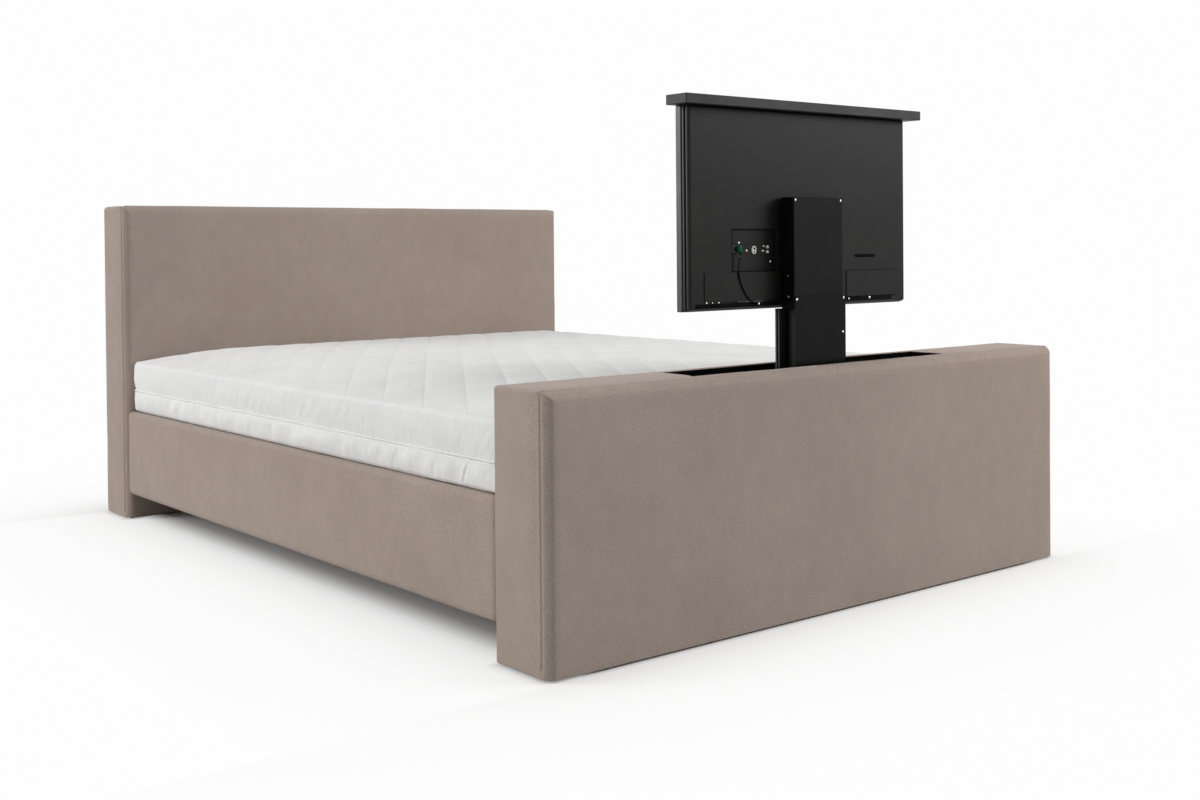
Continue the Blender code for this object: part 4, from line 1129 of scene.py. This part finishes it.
def swept(name, place, size, radius, steps, finish, facing="back", closed=False,
          body="top_stage"):
    """Form made of outlines, each drawn in and raised by one step; a closed one is a hoop."""
    across, up, out = (Vector(axis) for axis in FACINGS[facing])
    points = []
    for inset, rise in steps:
        outline = round_outline(size[0] - 2 * inset, size[1] - 2 * inset, radius - inset)
        points += [Vector(place) + across * u + up * v + out * rise for u, v in outline]
    mesh = mesh_of(name, points, loft(len(steps), len(points) // len(steps), closed=closed))
    mesh.set_sharp_from_angle(angle=math.radians(SHARP))
    return new_object(name, mesh, finish, body)


def standing(node):
    """Middle of a small part on the plane that it stands on."""
    low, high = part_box(node)
    return (low.x + high.x) / 2, high.y, (low.z + high.z) / 2


def screw(name, place, width, facing="back", body="top_stage", dome=1.0):
    """Domed screw head with a round recess; a low dome makes it nearly flush."""
    steps = [(width * inset, width * dome * rise) for inset, rise in PROFILES["screw"]]
    return swept(name, place, (width, width), width / 2, steps, BRIGHT, facing, body=body)


def line_hoop(name, node, plane, width, finish):
    """Thin joint round a plate on the back."""
    low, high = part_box(node)
    place = ((low.x + high.x) / 2, plane, (low.z + high.z) / 2)
    size = (high.x - low.x + 2 * width, high.z - low.z + 2 * width)
    steps = [(0, 0), (0, JOINT_RISE), (width, JOINT_RISE), (width, 0)]
    swept(name, place, size, 0.001, steps, finish, closed=True)


def television_back():
    """Sockets, joints, screws and trim on the television's back, with flat patches of painted shade in a slot
    and a recess, and a painted shadow band along the lower edge.
    """
    bezel_low, bezel_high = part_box("tv_bezel")
    shell_low, shell_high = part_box("tv_rear_shell")
    back, panel = shell_low.y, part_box("connector_panel")[0].y
    line_hoop("panel_joint", "connector_panel", back, 0.0016, SHADOW_BLACK)
    line_hoop("cover_joint_left", "tv_cover_left", back, 0.0012, TV_PLASTIC)
    line_hoop("cover_joint_right", "tv_cover_right", back, 0.0012, SHADOW_BLACK)
    for name, plane, x, z, width, height, radius, profile, finish in FITTINGS:
        place = (x, panel if plane == "panel" else back, z)
        swept(name, place, (width, height), radius, PROFILES[profile], finish)
    for number, (x, z, width) in enumerate(PETALS, 1):
        size = (width, width * PETAL_TALL)
        swept(f"petal_{number}", (x, panel, z), size, width * PETAL_ROUND, PROFILES["petal"], SOCKET_WHITE)
    for number, (x, z, width) in enumerate(PANEL_SCREWS, 1):
        screw(f"panel_screw_{number}", (x, panel, z), width)
    for number, (x, z, width) in enumerate(EDGE_SCREWS, 1):
        screw(f"edge_screw_{number}", (x, back - JOINT_RISE, z), width)
    middle = ((bezel_low.x + bezel_high.x) / 2, shell_high.y, (shell_low.z + shell_high.z) / 2)
    size = (shell_high.x - shell_low.x, shell_high.z - shell_low.z)
    for number, (first, last, out) in enumerate(TRIM_ROWS, 1):
        steps = [(-0.0001, first), (-out * 0.8, first + 0.0008), (-out, first + 0.0022),
                 (-out, last - 0.0022), (-out * 0.8, last - 0.0008), (-0.0001, last)]
        swept(f"shell_trim_{number}", middle, size, 0.002, steps, TV_TRIM, closed=True)


def column_screws():
    """Nearly flush screws on the column's sliding sides, and one on the middle cover."""
    carriage_low, carriage_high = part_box("lift_carriage")
    middle_low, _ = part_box("lift_middle_cover")
    for number, (y, z) in enumerate(((-1.1023, 0.7637), (-1.1029, 0.7163)), 1):
        screw(f"column_screw_left_{number}", (carriage_low.x, y, z), 0.0052, "left", dome=FLUSH_DOME)
    screw("column_screw_right", (carriage_high.x, -1.103, 0.7574), 0.006, "right", dome=FLUSH_DOME)
    screw("middle_screw", (0.0745, middle_low.y, 0.63), 0.0055, body="middle_stage")


def plug():
    """Plug with a waist, standing on the connector panel, and its boot for the lead."""
    low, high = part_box("lead_plug")
    x, z = low.x + PLUG_SIDE, low.z + 0.015
    body = swept("plug_body", (x, high.y, z), (0.013, 0.018), 0.0065, PROFILES["plug"], PLUG_GREEN)
    swept("plug_boot", (x, low.y + PLUG_NECK, z - 0.0082), (0.0052, 0.0052), 0.0026, PROFILES["boot"],
          LEAD_RUBBER, "down")
    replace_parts(body, "lead_plug")


def clip():
    """Saddle that holds the lead at the lower edge, with its screw."""
    x, y, z = standing("lead_clip")
    body = swept("clip_saddle", (x, y, z), (0.012, 0.0072), 0.0016, PROFILES["saddle"], LEAD_RUBBER)
    screw("clip_screw", (x - 0.0014, y - 0.0042, z - 0.0004), 0.0052)
    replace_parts(body, "lead_clip")


def fitted_screws():
    """Cover screws of the lift, with a flange and a domed head."""
    for name, body in (("carriage_screw", "top_stage"), ("cover_screw", "middle_stage")):
        for word in ("left", "right"):
            node = f"{name}_{word}"
            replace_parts(screw(f"{name}_head_{word}", standing(node), 0.0074, body=body), node)


def lead():
    """Thin lead that hangs from the plug and swings over to the clip."""
    plug_low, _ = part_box("lead_plug")
    clip_low, clip_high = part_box("lead_clip")
    start = (plug_low.x + PLUG_SIDE, plug_low.y + PLUG_NECK, plug_low.z + 0.001)
    end = ((clip_low.x + clip_high.x) / 2 - 0.001, clip_low.y + 0.0018, clip_high.z - 0.0012)
    path = [start] + smooth_path([(x, LEAD_PLANE, z) for x, z in LEAD_ROUTE], LEAD_TURNS) + [end]
    rope = piping("lead_cord", path, LEAD_RADIUS, LEAD_RUBBER, "top_stage", False)
    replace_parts(rope, "tv_lead")


def smooth_path(points, steps):
    """Smooth curve through points."""
    row = [Vector(point) for point in points[:1] + points + points[-1:]]
    made = []
    for i in range(1, len(row) - 2):
        a, b, c, d = row[i - 1:i + 3]
        for k in range(steps):
            t = k / steps
            made.append(0.5 * (2 * b + (c - a) * t + (2 * a - 5 * b + 4 * c - d) * t ** 2
                               + (3 * b - a - 3 * c + d) * t ** 3))
    made.append(row[-2])
    return [tuple(point) for point in made]


# Finishes of the model's own nodes

FINISHES = {
    "upholstery_fabric": VELOUR, "mattress_fabric": TICKING, "board_wood": PINE_X, "board_black": BLACK_BOARD,
    "skid_rubber": SKID_RUBBER, "lift_steel": LIFT_STEEL, "lift_cover": LIFT_COAT, "bright_steel": BRIGHT,
    "tv_plastic": TV_PLASTIC, "screen_gloss": GLASS, "plug_green": PLUG_GREEN, "lead_rubber": LEAD_RUBBER,
}
NODE_FINISHES = {"lid": LID_COAT, "tv_bezel": TV_TRIM, "lift_middle_cover": LIFT_MIDDLE}
for along_node in ("centre_beam", "side_rail_left", "side_rail_right", "ledger_left", "ledger_right"):
    NODE_FINISHES[along_node] = PINE_Y


def finish_nodes():
    """Give every node its material."""
    slots = {part["node"]: part["material_slot"] for part in frame["record"]["subparts"]}
    for name, item in frame["nodes"].items():
        item.data.materials.clear()
        item.data.materials.append(NODE_FINISHES.get(name, FINISHES[slots[name]]))


camera()
world()
floor()
for lamp_row in LAMPS:
    area_light(*lamp_row)
finish_nodes()

board_cover("footboard_cover", END_EDGE, TOP_EDGE, (SLOT_LOW, SLOT_HIGH))
board_cover("headboard_cover", HEAD_BACK_ROLL, HEAD_TOP_EDGE)
board_stitches("footboard_cover", "footboard")
board_stitches("headboard_cover", "headboard")
rail_cover("left")
rail_cover("right")
mattress()
television_back()
column_screws()
fitted_screws()
plug()
clip()
lead()

bpy.context.scene.view_settings.view_transform = "Standard"
